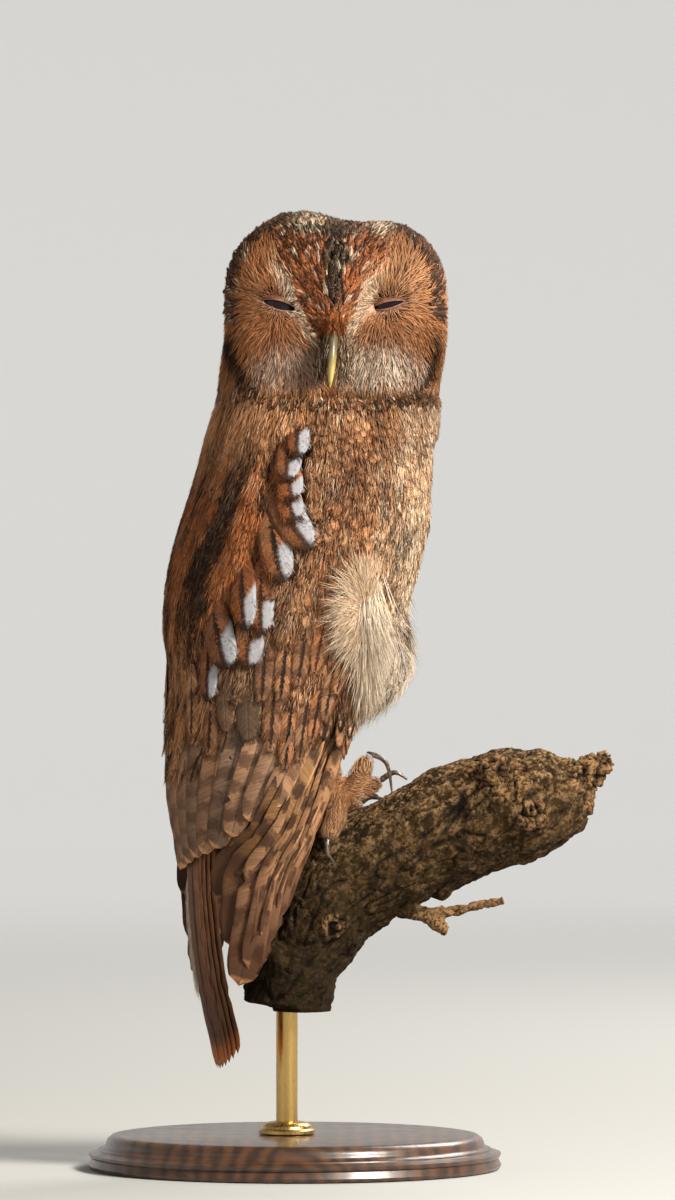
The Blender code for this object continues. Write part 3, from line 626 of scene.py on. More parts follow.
# %% Markings of the head
def head_coat(points):
    """Ground colour over the head, and where the wedge and the dark crown are."""
    across, up, ahead, slit_far = face_places(points)
    wide, eye_far = abs(across), slit_far + 5
    fine, broad = mottle(points, 1.6, 3), mottle(points, 7.0, 4)
    # right_side makes the lower disc paler and warmer on the right and greyer on the left: partly its own
    # colour, partly painted light and shade
    right_side = ramp(-6, 6, across)
    # the disc: arcs and rays round the eyes, pale below, dark beside the bill
    arcs = 0.5 + 0.5 * np.sin(eye_far * 0.75 + 3 * broad)
    # lit is a painted highlight over the right of the disc, with a weaker one on the left
    lit = bell(across, 26, 22) * bell(up, 13, 18) + 0.30 * bell(across, -28, 12) * bell(up, 14, 14)
    low_disc = np.hypot((wide - 22) / np.where(across > 0, 23, 18), (up + 27) / 12.5)
    low_disc = 1 - ramp(0.5, 1.15, low_disc + 0.35 * (mottle(points, 3.0, 18) - 0.5))
    pale_low = blend(right_side, tone(140, 112, 92), BUFF)
    pale_low = blend(0.25 + 0.6 * fine + 0.25 * right_side, pale_low, tone(236, 220, 202))
    above = ramp(-1.0, 2.0, points[..., 2] - EYES["right"][2] - SLIT_RISE * (wide - EYE_ASIDE))
    over_slit = (1 - ramp(1.5, 8.0, slit_far)) * above * ramp(0.25, 0.6, broad + 0.15)
    under_slit = (1 - ramp(0.5, 4.0, slit_far)) * (1 - above)
    rays = np.stack([np.degrees(np.arctan2(up + 3, wide - EYE_ASIDE)), 0.12 * eye_far, 0 * up], 1)
    rays = mottle(rays, 7.0, 20)
    disc = layered(
        blend(0.10 + 0.30 * fine + 0.40 * broad, RUFOUS, FAWN),
        (0.30 * arcs * ramp(12, 22, eye_far), CHESTNUT),
        (0.85 * lit, tone(222, 170, 126)), (low_disc * (0.66 + 0.30 * right_side), pale_low),
        (bell(wide - EYE_ASIDE, 0, 13) * bell(up, -12, 6) * 0.45, GREY_BROWN),
        (over_slit * 0.62, tone(84, 52, 40)), (under_slit * 0.5, tone(196, 158, 130)),
        (ramp(0.5, 0.8, rays) * 0.32, CHESTNUT), (ramp(0.5, 0.8, 1 - rays) * 0.25, FAWN),
        (bell(wide, 9.5, 4.2) * bell(up, -15, 10) * 0.75, GREY_BROWN),
    )  # fmt: skip
    # pale brows from the bill up to the crown, with the wedge of scales between them
    outside, tall = beside_brow(points)
    hairy = mottle(points * (1.0, 1.0, 0.4), 1.3, 19)
    brow = ramp(-3.0, -0.6, outside + 2.2 * (hairy - 0.5)) * (1 - ramp(2.6, 7.5, outside + 3 * (hairy - 0.5)))
    brow = brow * tall * np.where(across < 0, 1.25, 0.65)
    wedge = (1 - ramp(-3.4, -1.6, outside)) * ramp(-20, -14, up)
    wedge_paint = blend(0.3 + 0.9 * fine - 0.3 * ramp(12, 30, up), tone(122, 66, 36), tone(196, 110, 58))
    half = 2.0 + 2.8 * ramp(-6, 26, up)
    stripe = ramp(-8, 4, up) * (1 - ramp(half - 0.6, half + 1.6, abs(across - 1.2 - 3.0 * (broad - 0.5))))
    stripe = np.clip(stripe * (0.8 + 0.7 * fine), 0, 1)
    # dark ruff round the disc, widest low down at each side
    half = np.where(across < 0, 49.5 - 2.6 * ramp(-14, -30, up), 49.5)
    rim_far = ((wide / half) ** 3 + (abs(up + 0.5) / np.where(up > 0, 40.5, 47.0)) ** 3) ** (1 / 3) * 50
    low_band = bell(rim_far, 48.6, 2.4) * ramp(-7, -15, up) * (1 - ramp(-41, -47, up))
    top_rim = ramp(43.5, 46.5, rim_far + 4.0 * (fine - 0.5))
    top_rim = top_rim * np.where(across > 0, ramp(8, 20, up), ramp(-8, 8, up)) * ramp(0.2, 0.5, broad)
    side_line = bell(ahead, 5, 3.0) * ramp(38, 43, wide) * np.where(across > 0, 0.3, 0.7)
    side_line = side_line * ramp(0.2, 0.5, fine)
    ruff = (2.4 * low_band * np.where(across > 0, 0.5, 1.0) + top_rim) * ramp(-1, 7, ahead) + side_line
    disc = layered(
        disc, (brow * (0.75 + 0.55 * hairy), blend(0.4 + 0.8 * fine, FAWN, tone(252, 230, 200))),
        (brow * ramp(0.58, 0.72, hairy) * 0.7, CHESTNUT), (wedge, wedge_paint), (stripe, SOOT),
        (np.clip(ruff, 0, 1) * 0.97, SOOT),
        (ramp(51.0, 53.0, rim_far) * (1 - ramp(-12, 0, up)) * 0.8, blend(fine, CHESTNUT, FAWN)),
        (ramp(-34.5, -37.5, up + 0.002 * across**2) * 0.85, blend(fine, UMBER, RUFOUS)),
    )  # fmt: skip
    # the back of the head, the disc over it, and the crown: dark with cream patches beside the middle
    facing, crown = ramp(-6, 3, ahead), ramp(27, 34, up)
    patch = crown_light(across, up) * ramp(0.15, 0.5, mottle(points, 4.5, 9)) * ramp(-22, -8, ahead)
    ground = layered(
        blend(broad, CHESTNUT, RUFOUS), (ramp(0.55, 0.75, mottle(points, 3.4, 10)) * 0.45, UMBER),
        (facing, disc), (crown * 0.75, blend(0.2 + fine, UMBER, RUFOUS)),
        (patch * 1.5, blend(0.5 + fine, FAWN, CROWN_CREAM)), (stripe * facing * 0.85, SOOT),
    )  # fmt: skip
    return ground, wedge, crown * (1 - 0.9 * np.clip(patch * 1.3, 0, 1))


# %% Markings of the body
def body_coat(points):
    """Ground colour and markings over the body, wings and legs, as a dictionary of arrays."""
    z, degrees = round_body(points)
    apart = abs(degrees)
    fine, broad, slow = mottle(points, 2.6, 1), mottle(points, 7.0, 2), mottle(points, 20.0, 5)
    clumps, blotch = mottle(points * (1.0, 1.0, 0.55), 8.5, 22), mottle(points * (1.0, 1.0, 0.6), 12.0, 24)
    lanes, strokes = lanes_down(points, 0.11, 4.7, 6), lanes_down(points, 0.22, 3.9, 7)
    flecks = lanes_down(points, 0.45, 3.0, 8)
    leading, scapular = curve_through(LEADING, z), curve_through(SCAPULARS, z)
    pale = curve_through(PALE, z) + 22 * (clumps - 0.5)
    breast = 1 - ramp(pale - 4, pale + 8, apart)
    mantle = ramp(scapular - 10, scapular + 4, apart)
    coverts = np.clip(1 - breast - mantle, 0, 1)
    belly = 1 - ramp(215, 250, z + 0.35 * apart)
    low_coverts = coverts * (1 - ramp(225, 265, z))
    fluff = (1 - ramp(264, 280, z)) * (1 - ramp(leading - 1, leading + 6, apart))
    behind = coverts * bell(apart - scapular, -14, 16) * (1 - ramp(285, 325, z))
    nape = ramp(325, 350, z) * mantle
    dark_lane = mantle * ramp(0.565, 0.605, lanes + 0.06 * (fine - 0.5)) * (1 - 0.75 * nape)
    ground = times(breast, blend(0.25 + 0.9 * broad, BUFF, CREAM))
    ground += times(mantle, blend(0.45 + 0.6 * slow + 0.5 * (fine - 0.3), CHESTNUT, RUFOUS))
    ground += times(coverts, blend(0.10 + 0.70 * broad, RUFOUS, FAWN))
    ground = layered(
        ground, (coverts * ramp(270, 320, z) * 0.25, FAWN),
        (breast * ramp(0.5, 0.7, clumps) * 0.45, tone(206, 132, 78)),
        (low_coverts * 0.55 + behind * 0.4, GREY_BROWN), (belly * breast * 0.35, FAWN),
        (coverts * ramp(0.53, 0.66, blotch) * 0.50, tone(112, 76, 52)),
        ((coverts + breast) * ramp(0.53, 0.66, 1 - blotch) * 0.40, tone(232, 180, 134)),
        (fluff * 0.85, blend(0.4 + 0.6 * fine, CREAM, WHITE)), (nape * (0.75 + 0.5 * fine), FAWN),
        (mantle * (1 - ramp(235, 290, z)) * 0.85, FAWN),
    )  # fmt: skip
    soft = blend(dark_lane * 0.8, ground, SOOT)
    quiet = 0.45 * (1 - 0.9 * behind) * (1 - 0.7 * low_coverts)
    ground = layered(
        ground, (breast * (1 - fluff) * ramp(0.575, 0.64, strokes) * 0.92, UMBER),
        (fluff * ramp(0.56, 0.64, strokes) * (1 - ramp(18, 27, apart)) * 0.85, UMBER),
        (coverts * ramp(0.55, 0.68, strokes) * (0.62 + 0.3 * behind), UMBER),
        (coverts * ramp(0.60, 0.72, flecks) * quiet, CREAM),
        (coverts * ramp(0.54, 0.68, clumps) * 0.55, UMBER),
        (coverts * ramp(0.56, 0.70, 1 - clumps) * 0.45 * (1 - behind), BUFF),
        (breast * ramp(330, 352, z) * (0.3 + 0.5 * fine), CHESTNUT),
        (mantle * ramp(0.60, 0.72, flecks) * 0.55, FAWN), (dark_lane * 0.95, SOOT),
    )  # fmt: skip
    return {
        "ground": ground, "soft": soft, "fluff": fluff,
        "mantle": mantle, "coverts": coverts, "breast": breast,
        "streak": mantle * (0.15 + 0.9 * dark_lane) + 0.22 * coverts + 0.25 * breast + 0.3 * low_coverts,
        "bars": 0.10 * mantle + 0.30 * coverts + 0.35 * breast + 0.25 * low_coverts,
        "fringe": 0.15 * mantle + 0.15 * (coverts - low_coverts) + 0.45 * breast,
    }  # fmt: skip


# %% Coat depth, and the skin it leaves
def coat_depth(points):
    _, _, ahead, slit_far = face_places(points)
    on_head = ramp(352, 362, points[:, 2])
    on_face = on_head * ramp(0, 14, ahead)
    near_eye = 1 - ramp(5, 10, slit_far)
    return (4.6 * (1 - on_head) + 3.4 * on_head) * (1 - on_face) + (1.9 - 1.2 * near_eye) * on_face


def make_skin():
    skin = remeshed(joined_copy(FLESH, "skin", 0.5), 1.8, 4)
    points, normals = points_of(skin.data), points_of(skin.data, "normal")
    depth = coat_depth(points)
    small = among(owner_of(points), FEET)
    depth[small] = np.where(points[small, 2] < 196, 1.4, 2.2)
    move_points(skin.data, points - times(depth, normals))
    softened(skin, 3)
    on_head, on_legs = ramp(354, 360, points[:, 2]), 1 - ramp(194, 208, points[:, 2])
    ground = layered(body_coat(points)["ground"], (on_head, head_coat(points)[0]), (on_legs, LEG_TAN))
    paint(skin.data, ground)
    finish = Finish("bare_skin")
    grain = finish.noise(0.9, 3, stretch=(1.0, 1.0, 0.35))
    ground = finish.attribute("ground", "Color")
    colour = finish.mix(grain.rise(0.35, 0.7) * 0.55, ground, (0.03, 0.018, 0.01, 1))
    finish.set(Base_Color=colour, Roughness=0.9, Normal=finish.bump(grain, 0.5))
    finished(skin, FLESH, finish)


make_skin()

# %% [markdown]
# ## How a coat is laid
# Feathers grow in a spaced-out pattern, lie along the body and cover one another like slates. So the
# roots are scattered with a least distance between them, each feather is stepped along the surface in
# the lie of the coat, and it rises from the skin at its root to the form at its tip. A few small
# shapes are modelled, and their copies are bent and joined in arrays.

# %% Scattering roots
def scatter(surface, seed, spacing, wanted, density=5.0):
    """Random points of a surface that keep a distance, which may change over it. wanted(points) says
    where they may be, as true or false."""
    draw = np.random.default_rng(seed)
    a, b, c = (surface.points[surface.triangles[:, n]] for n in range(3))
    areas = np.linalg.norm(np.cross(b - a, c - a), axis=1) / 2
    middles = (a + b + c) / 3
    allowed = wanted(middles)
    gaps = np.broadcast_to(spacing(middles) if callable(spacing) else spacing, allowed.shape)
    chances = areas * allowed / gaps**2
    count = int(chances.sum() * density)
    chosen = draw.choice(len(areas), size=count, p=chances / chances.sum())
    one, two = np.sqrt(draw.random(count)), draw.random(count)
    places = times(1 - one, a[chosen]) + times(one * (1 - two), b[chosen]) + times(one * two, c[chosen])
    cell = float(gaps[allowed].max())
    kept, grid = [], {}
    for i, (place, gap) in enumerate(zip(places.tolist(), gaps[chosen].tolist())):
        home = tuple(int(v // cell) for v in place)
        near = (
            other
            for step in itertools.product((-1, 0, 1), repeat=3)
            for other in grid.get((home[0] + step[0], home[1] + step[1], home[2] + step[2]), ())
        )
        if all(math.dist(place, other) > gap for other in near):
            grid.setdefault(home, []).append(place)
            kept.append(i)
    return places[kept]


CLEAR, SHELTER = 1.5, 60.0  # where a look outwards from a point starts and ends


def open_to_air(points):
    """Whether nothing of the form stands over a point."""
    rays = [(Vector(p + n * CLEAR), Vector(n), SHELTER) for p, n in zip(points, form.nearest(points)[1])]
    return np.array([form.tree.ray_cast(*ray)[0] is None for ray in rays])


# %% The lie of the coat
def straight_down(points, normals):
    return along_surface(DOWN, normals)


def body_lie(points, normals):
    """Down the body, and back over the wing by up to a fifth of a right angle."""
    z, degrees = round_body(points)
    turn, apart = np.radians(degrees), abs(degrees)
    around = times(np.cos(turn), RIGHT) - times(np.sin(turn), AHEAD)
    leaning = 0.27 * ramp(12, 48, apart) * (1 - ramp(140, 176, apart)) * (1 - 0.65 * ramp(300, 345, z))
    leaning = leaning + 0.10 * bell(z, 255, 35) * bell(apart, 40, 22)
    return along_surface(DOWN + times(np.sign(degrees) * leaning, around), normals)


def head_lie(points, normals):
    """Out from each eye over the disc, up over the crown from the bill, and down behind."""
    across, up, ahead, _ = face_places(points)
    eye = np.where((across < 0)[..., None], EYES["right"], EYES["left"])
    from_bill = (1 - ramp(-3.0, 1.0, beside_brow(points)[0])) * ramp(-22, -14, up)
    behind, back = 1 - ramp(-2, 14, ahead), 1 - ramp(-34, -4, ahead)
    lie = times((1 - from_bill) * (1 - behind), unit((points - eye) * (1.0, 0.4, 1.0)))
    lie = lie + times(from_bill + behind, unit(points - BILL_ROOT))
    return along_surface(times(1 - back, unit(lie)) + times(back, DOWN), normals)


# %% The shapes that are copied
class Shape:
    """A small closed solid as arrays: across -1 to 1, along 0 to 1, and height in half-widths."""

    def __init__(self, bm):
        bmesh.ops.recalc_face_normals(bm, faces=bm.faces)
        self.points = np.array([v.co[:] for v in bm.verts])
        bm.verts.index_update()
        self.faces = [[v.index for v in face.verts] for face in bm.faces]
        bm.free()


def spike(bm):
    return bmesh.ops.create_cone(bm, cap_ends=True, segments=3, radius1=1, radius2=0, depth=2)["verts"]


def vane_shape(outline, arch, barbs, columns=4):
    """A blade with an arched top and flat underside, and barbs that stand off its edges and tip.
    outline has rows of (along, half-width)."""
    along, half = (np.array(column) for column in zip(*outline))
    rows = len(outline) - 1
    bm = bmesh.new()
    for steps, high in ((columns, arch), (1, 0.0)):
        sheet = bmesh.ops.create_grid(bm, x_segments=steps, y_segments=rows, size=1)["verts"]
        if not high:
            bmesh.ops.reverse_faces(bm, faces=list({f for v in sheet for f in v.link_faces}))
        for vert in sheet:
            x, row = vert.co.x, round((vert.co.y + 1) / 2 * rows)
            vert.co = x * half[row], along[row], high * (1 - x * x) * half[row] ** 0.5
    bmesh.ops.remove_doubles(bm, verts=bm.verts, dist=1e-4)
    bmesh.ops.holes_fill(bm, edges=[e for e in bm.edges if e.is_boundary], sides=0)
    for n in range(barbs):
        level = 0.50 + 0.46 * (n // 2 + 0.6 * (n % 2)) / max(barbs / 2, 1)
        side, width = 1 if n % 2 else -1, np.interp(level, along, half)
        for vert in spike(bm):
            x, y, out = vert.co.x, vert.co.y, (vert.co.z + 1) / 2
            ahead = level + 0.055 * x + (0.10 + 0.07 * (n % 3)) * out
            vert.co = side * (width * (0.80 + 0.42 * out) + 0.03 * x), ahead, 0.04 + 0.05 * y + 0.05 * out
    return Shape(bm)


def spike_shape(rows, bow=0.5):
    """A slim three-sided tuft that is widest near its root."""
    bm = bmesh.new()
    spike(bm)
    for level in range(1, rows):
        whole, cut = bm.verts[:] + bm.edges[:] + bm.faces[:], (0, 0, -1 + 2 * level / rows)
        bmesh.ops.bisect_plane(bm, geom=whole, plane_co=cut, plane_no=(0, 0, 1))
    for vert in bm.verts:
        s = (vert.co.z + 1) / 2
        fuller = min((1 - s**2) / max(1 - s, 1e-3), 1.6) if s < 0.999 else 0.0
        vert.co = vert.co.x * fuller * 0.75, s, (vert.co.y + 0.5) * bow * fuller * 0.5
    return Shape(bm)


CONTOUR = vane_shape(((0, 0.30), (0.2, 0.72), (0.45, 1.0), (0.68, 0.94), (0.86, 0.62), (1.0, 0.0)), 0.07, 10)
SMALL = vane_shape(((0, 0.5), (0.4, 1.0), (0.75, 0.80), (1.0, 0.0)), 0.12, 6, 2)
SCALE = vane_shape(((0, 0.5), (0.3, 1.0), (0.65, 0.72), (1.0, 0.0)), 0.05, 8, 2)
TUFT, LONG_TUFT = spike_shape(2), spike_shape(4)
ALL = slice(None)
print("faces:", {k: len(s.faces) for k, s in {"contour": CONTOUR, "small": SMALL, "tuft": TUFT}.items()})


# %% Bending copies over a surface
def drape(shape, roots, length, width, lie, depth, proud, yaw=None, stations=4, surface=form, wrap=False,
          curl=0.0, line=None):
    """Copies of a shape laid on a surface. Each starts depth under it and ends proud of it.
    Returns points of (copies, shape points, 3), and fills line with the places along each copy."""
    length, width, depth, proud = (np.broadcast_to(v, len(roots)) for v in (length, width, depth, proud))
    line = {} if line is None else line
    line.update(middle=[], normal=[], side=[], edge=[])
    middle, normal, _ = surface.nearest(roots)
    for _ in range(stations):
        way = lie(middle, normal)
        if yaw is not None:
            way = unit(way + times(np.tan(yaw), np.cross(normal, way)))
        side = np.cross(normal, way)
        edges = 0 * middle
        if wrap:
            ends = [surface.nearest(middle + times(s * width / 2, side))[0] for s in (-1, 1)]
            edges = (ends[0] + ends[1]) / 2 - middle
        for key, rows in zip(line, (middle, normal, side, edges)):
            line[key].append(rows)
        middle, normal, _ = surface.nearest(middle + times(length / (stations - 1), way))
    line.update({key: np.stack(rows) for key, rows in line.items()})
    across, along, high = shape.points.T
    at = np.clip(along, 0, 1) * (stations - 1)
    low = np.minimum(at.astype(int), stations - 2)
    part = (at - low)[None, :, None]

    def read(key):
        rows = line[key]
        return rows[low].transpose(1, 0, 2) * (1 - part) + rows[low + 1].transpose(1, 0, 2) * part

    along = np.clip(along, 0, None)
    depth, proud, length, width = (v[:, None] for v in (depth, proud, length, width))
    rise = -depth * np.clip(1 - along, 0, 1) ** 1.4 + proud * along**1.5 + high * width / 2
    rise = rise + curl * length * np.clip(along - 0.4, 0, 1) ** 2
    places = read("middle") + times(across * width / 2, unit(read("side")))
    return places + times(rise, unit(read("normal"))) + read("edge") * (across**2)[None, :, None]


def joined(name, shape, places, unwrap, marks, finish, patch=0.003, hand=1):
    """One mesh of all the copies, with their markings and their OFBake patches.
    unwrap has a row of (u, v) for each copy, and marks is a dictionary of rows for each copy."""
    copies, count = places.shape[:2]
    sizes = np.array([len(face) for face in shape.faces])
    order = (np.concatenate(shape.faces)[None] + (np.arange(copies) * count)[:, None]).ravel()
    starts = np.concatenate([[0], np.cumsum(np.tile(sizes, copies))[:-1]])
    mesh = bpy.data.meshes.new(name)
    mesh.vertices.add(copies * count)
    mesh.loops.add(len(order))
    mesh.loops.foreach_set("vertex_index", order.astype(np.int32))
    mesh.polygons.add(len(starts))
    mesh.polygons.foreach_set("loop_start", starts.astype(np.int32))
    mesh.vertices.foreach_set("co", (places * MM).astype(np.float32).ravel())
    mesh.update(calc_edges=True)
    mesh.shade_smooth()
    vane = np.empty((copies, count, 3))
    vane[..., :2] = shape.points[:, :2] * (hand, 1)
    vane[..., 2] = np.random.default_rng(len(name) * 1000 + copies).random(copies)[:, None]
    paint(mesh, vane.reshape(-1, 3), "vane")
    for key, rows in marks.items():
        paint(mesh, np.repeat(rows[:, :3], count, axis=0), key)
    layer = mesh.uv_layers.new(name="OFBake")
    patches = unwrap[:, None] + (shape.points[:, :2] * (0.5, 1) - (0, 0.5)) * patch
    layer.uv.foreach_set("vector", patches.reshape(-1, 2)[order].astype(np.float32).ravel())
    piece = bpy.data.objects.new(name, mesh)
    scene.collection.objects.link(piece)
    finished(piece, (), finish)


def lay(zones, shape, roots, length, width, lie, depth, proud, marks, finish, slot, unwrap, **how):
    """Drapes copies of a shape from the roots, and joins those of each zone into one piece."""
    places = drape(shape, roots, length, width, lie, depth, proud, **how)
    for title, here in zones.items():
        rows = {key: value[here] for key, value in marks.items()}
        joined(title, shape, places[here], unwrap(roots[here]), rows, finish)


def spread(*columns):
    """Fits columns of u and v into the square of a map."""
    rows = np.stack(columns, axis=1)
    least, most = rows.min(axis=0), rows.max(axis=0)
    return 0.01 + (rows - least) / np.maximum(most - least, 1e-6) * 0.98


def body_map(points):
    return spread(*round_body(points)[::-1])


def head_map(points):
    """The head's surface opened out round the way it faces."""
    away = unit(points - (FACE_MIDDLE[0], HEAD_MIDDLE_Y, FACE_MIDDLE[2]))
    turn = np.arctan2(away[:, 2], away[:, 0])
    far = np.arccos(np.clip(-away[:, 1], -1, 1))
    return spread(far * np.cos(turn), far * np.sin(turn))


# %% [markdown]
# ## The feather finish
# Each feather carries its own markings: a dark streak along the shaft, cross bars, a pale fringe or a
# white web. Barbs run slantwise from the shaft, so the fine grain of colour and bump does too.

# %% Feather finishes
def feather_finish():
    f = Finish("body_feather")
    across, along, chance = f.parts(f.attribute("vane"))
    streak, bars, fringe = f.parts(f.attribute("marks"))
    white, tip, speckle = f.parts(f.attribute("trims"))
    ground = f.attribute("ground", "Color")
    wide, cloud = abs(across), f.noise(1.3, 3)
    ragged = cloud - 0.5
    lines = f.barbs(along * 26.0 - wide * 5.0, chance * 40.0 + across * 0.6)
    band = (along * 3.3 - wide * wide * 0.35 + ragged * 0.5 + chance).wave().rise(0.45, 0.7)
    pale = (wide + ragged * 0.5).rise(0.62, 1.0) * along.rise(0.3, 0.5)
    pale = (pale + (along + ragged * 0.12).rise(0.90, 0.98)).rise(0.0, 1.0)
    reach = streak * along.rise(0.1, 0.55) * (1.0 - along.rise(0.86, 1.0))
    dark = (reach * 0.62 - wide - ragged * 0.55 + lines * 0.2).rise(0.02, 0.20)
    top = (along + across * 0.22 + ragged * 0.06).rise(0.60, 0.72)
    web = (across + ragged * 0.30).rise(-0.05, 0.30) * top * white
    chalk = f.mix(lines.rise(0.3, 0.8) * 0.22 + cloud.rise(0.4, 0.8) * 0.2, WEB_WHITE, tone(150, 132, 116))
    colour = f.over(
        ground, (lines.rise(0.3, 0.7) * 0.55, (0.018, 0.010, 0.006, 1)),
        ((chance * 7.3).wave() * 0.22, (0.32, 0.19, 0.11, 1)),
        (f.noise(0.8, 2).rise(0.5, 0.62) * speckle, SOOT),
        (band * bars, f.mix(0.5, UMBER, SOOT)), (pale * fringe, f.mix(0.35, CREAM, ground)),
        (dark * streak.rise(0.05, 0.2), f.mix(chance, SOOT, UMBER)), (web, chalk),
        ((along + ragged * 0.12 - across * 0.07).rise(0.87, 0.94) * tip, SOOT),
    )  # fmt: skip
    bump = f.bump(lines * 0.6 + (1.0 - wide.rise(0.0, 0.12)) * 0.5, 0.28)
    return f.set(Base_Color=colour, Normal=bump, Roughness=0.8, Specular_IOR_Level=0.18)


def tuft_finish(name, root):
    """Down and face tufts: darker at the root, and each a little different."""
    f = Finish(name)
    _, along, chance = f.parts(f.attribute("vane"))
    shade = (chance * 9.1).wave()
    colour = f.over(
        f.attribute("ground", "Color"), ((shade * 0.75 + 0.1) * root * 1.2, ROOT_SHADE),
        ((1.0 - along.rise(0.0, 0.6)) * root, ROOT_SHADE),
    )  # fmt: skip
    return f.set(Base_Color=colour, Roughness=0.85, Specular_IOR_Level=0.15)


BODY_FEATHER = feather_finish()
FACE_TUFT, DOWN_TUFT = tuft_finish("face_tuft", 0.28), tuft_finish("down_tuft", 0.22)
BARB_TUFT = tuft_finish("barb_tuft", 0.11)

# %% [markdown]
# ## Feathers placed one by one
# A line of larger feathers runs down the shoulder. Each has a white outer web that ends in a dark
# tip. Below them the greater coverts lie over the flight feathers in two rows. All are placed one by
# one, before the scattered coat, which leaves room for them, and are mirrored on the far wing.

# %% Shoulder feathers and greater coverts
BROAD_OUTLINE = (
    (0, 0.30), (0.12, 0.66), (0.28, 0.92), (0.45, 1.0), (0.6, 0.99), (0.74, 0.93), (0.85, 0.80), (0.93, 0.58),
    (0.975, 0.34), (1.0, 0.0),
)  # fmt: skip
BROAD = vane_shape(BROAD_OUTLINE, 0.12, 0, 8)
WHITE_WEBS = np.array((  # across, height, width and length of each white web, its lean and how high it lies
    (5.5, 337, 6.0, 12, 4, 2.0), (1.4, 325.5, 6.6, 10, 2, 2.5), (2.0, 315.5, 6.4, 7.5, 14, 3.0),
    (2.0, 306.0, 6.4, 8, 22, 3.4), (5.4, 296.5, 8.0, 15, 34, 2.9), (-2.6, 284, 7.8, 16, 15, 2.6),
    (-11.6, 259.5, 6.4, 14, 3, 2.0), (-18.6, 262, 6.6, 15, 8, 2.8), (-17.4, 243.0, 7.4, 12, -4, 2.0),
    (-27.8, 243.7, 8.4, 15, 20, 2.9), (-37.2, 228.8, 5.4, 14, 2, 2.8),
))  # fmt: skip
GREATER_COVERTS = np.array((  # across and height of the tip, width, length, lean, how grey and how barred
    (-47, 202, 9, 34, 2, 0.3, 0.3), (-39, 194, 9, 38, 0, 0.5, 0.3), (-21, 201, 13, 32, 2, 1.0, 0.0),
    (-31, 205, 10, 32, 5, 0.9, 0.2), (-11, 196, 9, 44, -4, 0.6, 0.5), (-4, 188, 9, 50, -6, 0.3, 0.6),
    (3, 192, 8.5, 48, -8, 0.6, 0.6), (9, 200, 8, 46, -10, 0.3, 0.55), (15, 210, 8, 40, -10, 0.5, 0.5),
    (-15, 219, 9, 34, -4, 0.7, 0.4), (-6, 220, 9, 40, -6, 0.4, 0.5), (2, 226, 9, 40, -8, 0.6, 0.5),
    (10, 232, 8, 38, -10, 0.3, 0.4), (20, 222, 7, 34, -12, 0.4, 0.4),
))  # fmt: skip


def plan_surface():
    """The wings' smooth outer surface from the plan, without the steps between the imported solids."""
    bm = bmesh.new()
    for vert in bmesh.ops.create_grid(bm, x_segments=120, y_segments=60, size=1)["verts"]:
        vert.co = Vector(body_point(278 + 95 * vert.co.y, 180 * vert.co.x)) * MM
    bmesh.ops.remove_doubles(bm, verts=bm.verts, dist=1e-5)
    bm.normal_update()
    if sum(f.normal.xy.dot(f.calc_center_median().xy) for f in bm.faces) < 0:
        bmesh.ops.reverse_faces(bm, faces=bm.faces)
    return Surface(piece_from(bm, "plan_surface"))


PLAN = plan_surface()
NEAR_ENOUGH = 48  # how far off a root can be and its feather still reach a placed one
BARBS_PER_FEATHER = 190
placed_feathers = []  # middle, way, side, half-length and half-width of the part of each that has to show


def room_before_placed(points, ways, lengths):
    """How much of its length a coat feather may have before it would lie over a placed feather, 0 to 1."""
    room = np.ones(len(points))
    for middle, way, side, half_long, half_wide in placed_feathers:
        near = np.flatnonzero(np.linalg.norm(points - middle, axis=1) < NEAR_ENOUGH)
        for part in np.linspace(1, 0, 11):
            away = points[near] + times(lengths[near] * part, ways[near]) - middle
            meets = (abs(away @ way) < half_long) & (abs(away @ side) < half_wide)
            room[near[meets]] = np.minimum(room[near[meets]], part)
    return room


def mirrored(points):
    """The same places on the far side of the bird."""
    return points - times(2 * dot(points - axis_at(points[..., 2]), RIGHT), RIGHT)


def lay_placed(title, tips, lengths, widths, leans, colours, marks, trims, proud, sunk, shows, barbs):
    """Feathers given by their tips on the near side, and the same on the far side. shows has how far
    along and aside the middle of the part that has to show is, and its half-length and half-width.
    barbs has their title, whether the outer webs are white, and how dark each feather's middle is."""
    leans = np.radians(leans)
    starts = np.array([
        PLAN.from_side(x - math.sin(lean) * long * 0.96, z + math.cos(lean) * long * 0.96)
        for (x, z), lean, long in zip(tips, leans, lengths)
    ])  # fmt: skip
    along, aside, half_long, half_wide = shows
    lines = {}
    for side_title, sign in SIDES.items():
        here = starts if sign > 0 else PLAN.nearest(mirrored(starts))[0]
        line = lines[side_title] = {}
        places = drape(
            BROAD, here, lengths, widths, straight_down, sunk, proud, leans * sign, 7, PLAN, True, line=line,
        )  # fmt: skip
        middles, sides = line["middle"], line["side"]
        for n, (long, wide) in enumerate(zip(lengths, widths)):
            middle = middles[3][n] * (1 - along) + middles[6][n] * along + sides[4][n] * wide * aside * sign
            way = unit(middles[6][n] - middles[3][n])
            placed_feathers.append((middle, way, sides[4][n], long * half_long, wide * half_wide))
        rows = {"ground": colours, "marks": marks, "trims": trims}
        name = f"{title}_{side_title}"
        joined(name, BROAD, places, body_map(here), rows, BODY_FEATHER, 0.03, sign)
    for side_title, line in lines.items():
        name = f"{barbs[0]}_{side_title}"
        lay_placed_barbs(name, SIDES[side_title], line, lengths, widths, colours, proud, sunk, *barbs[1:])


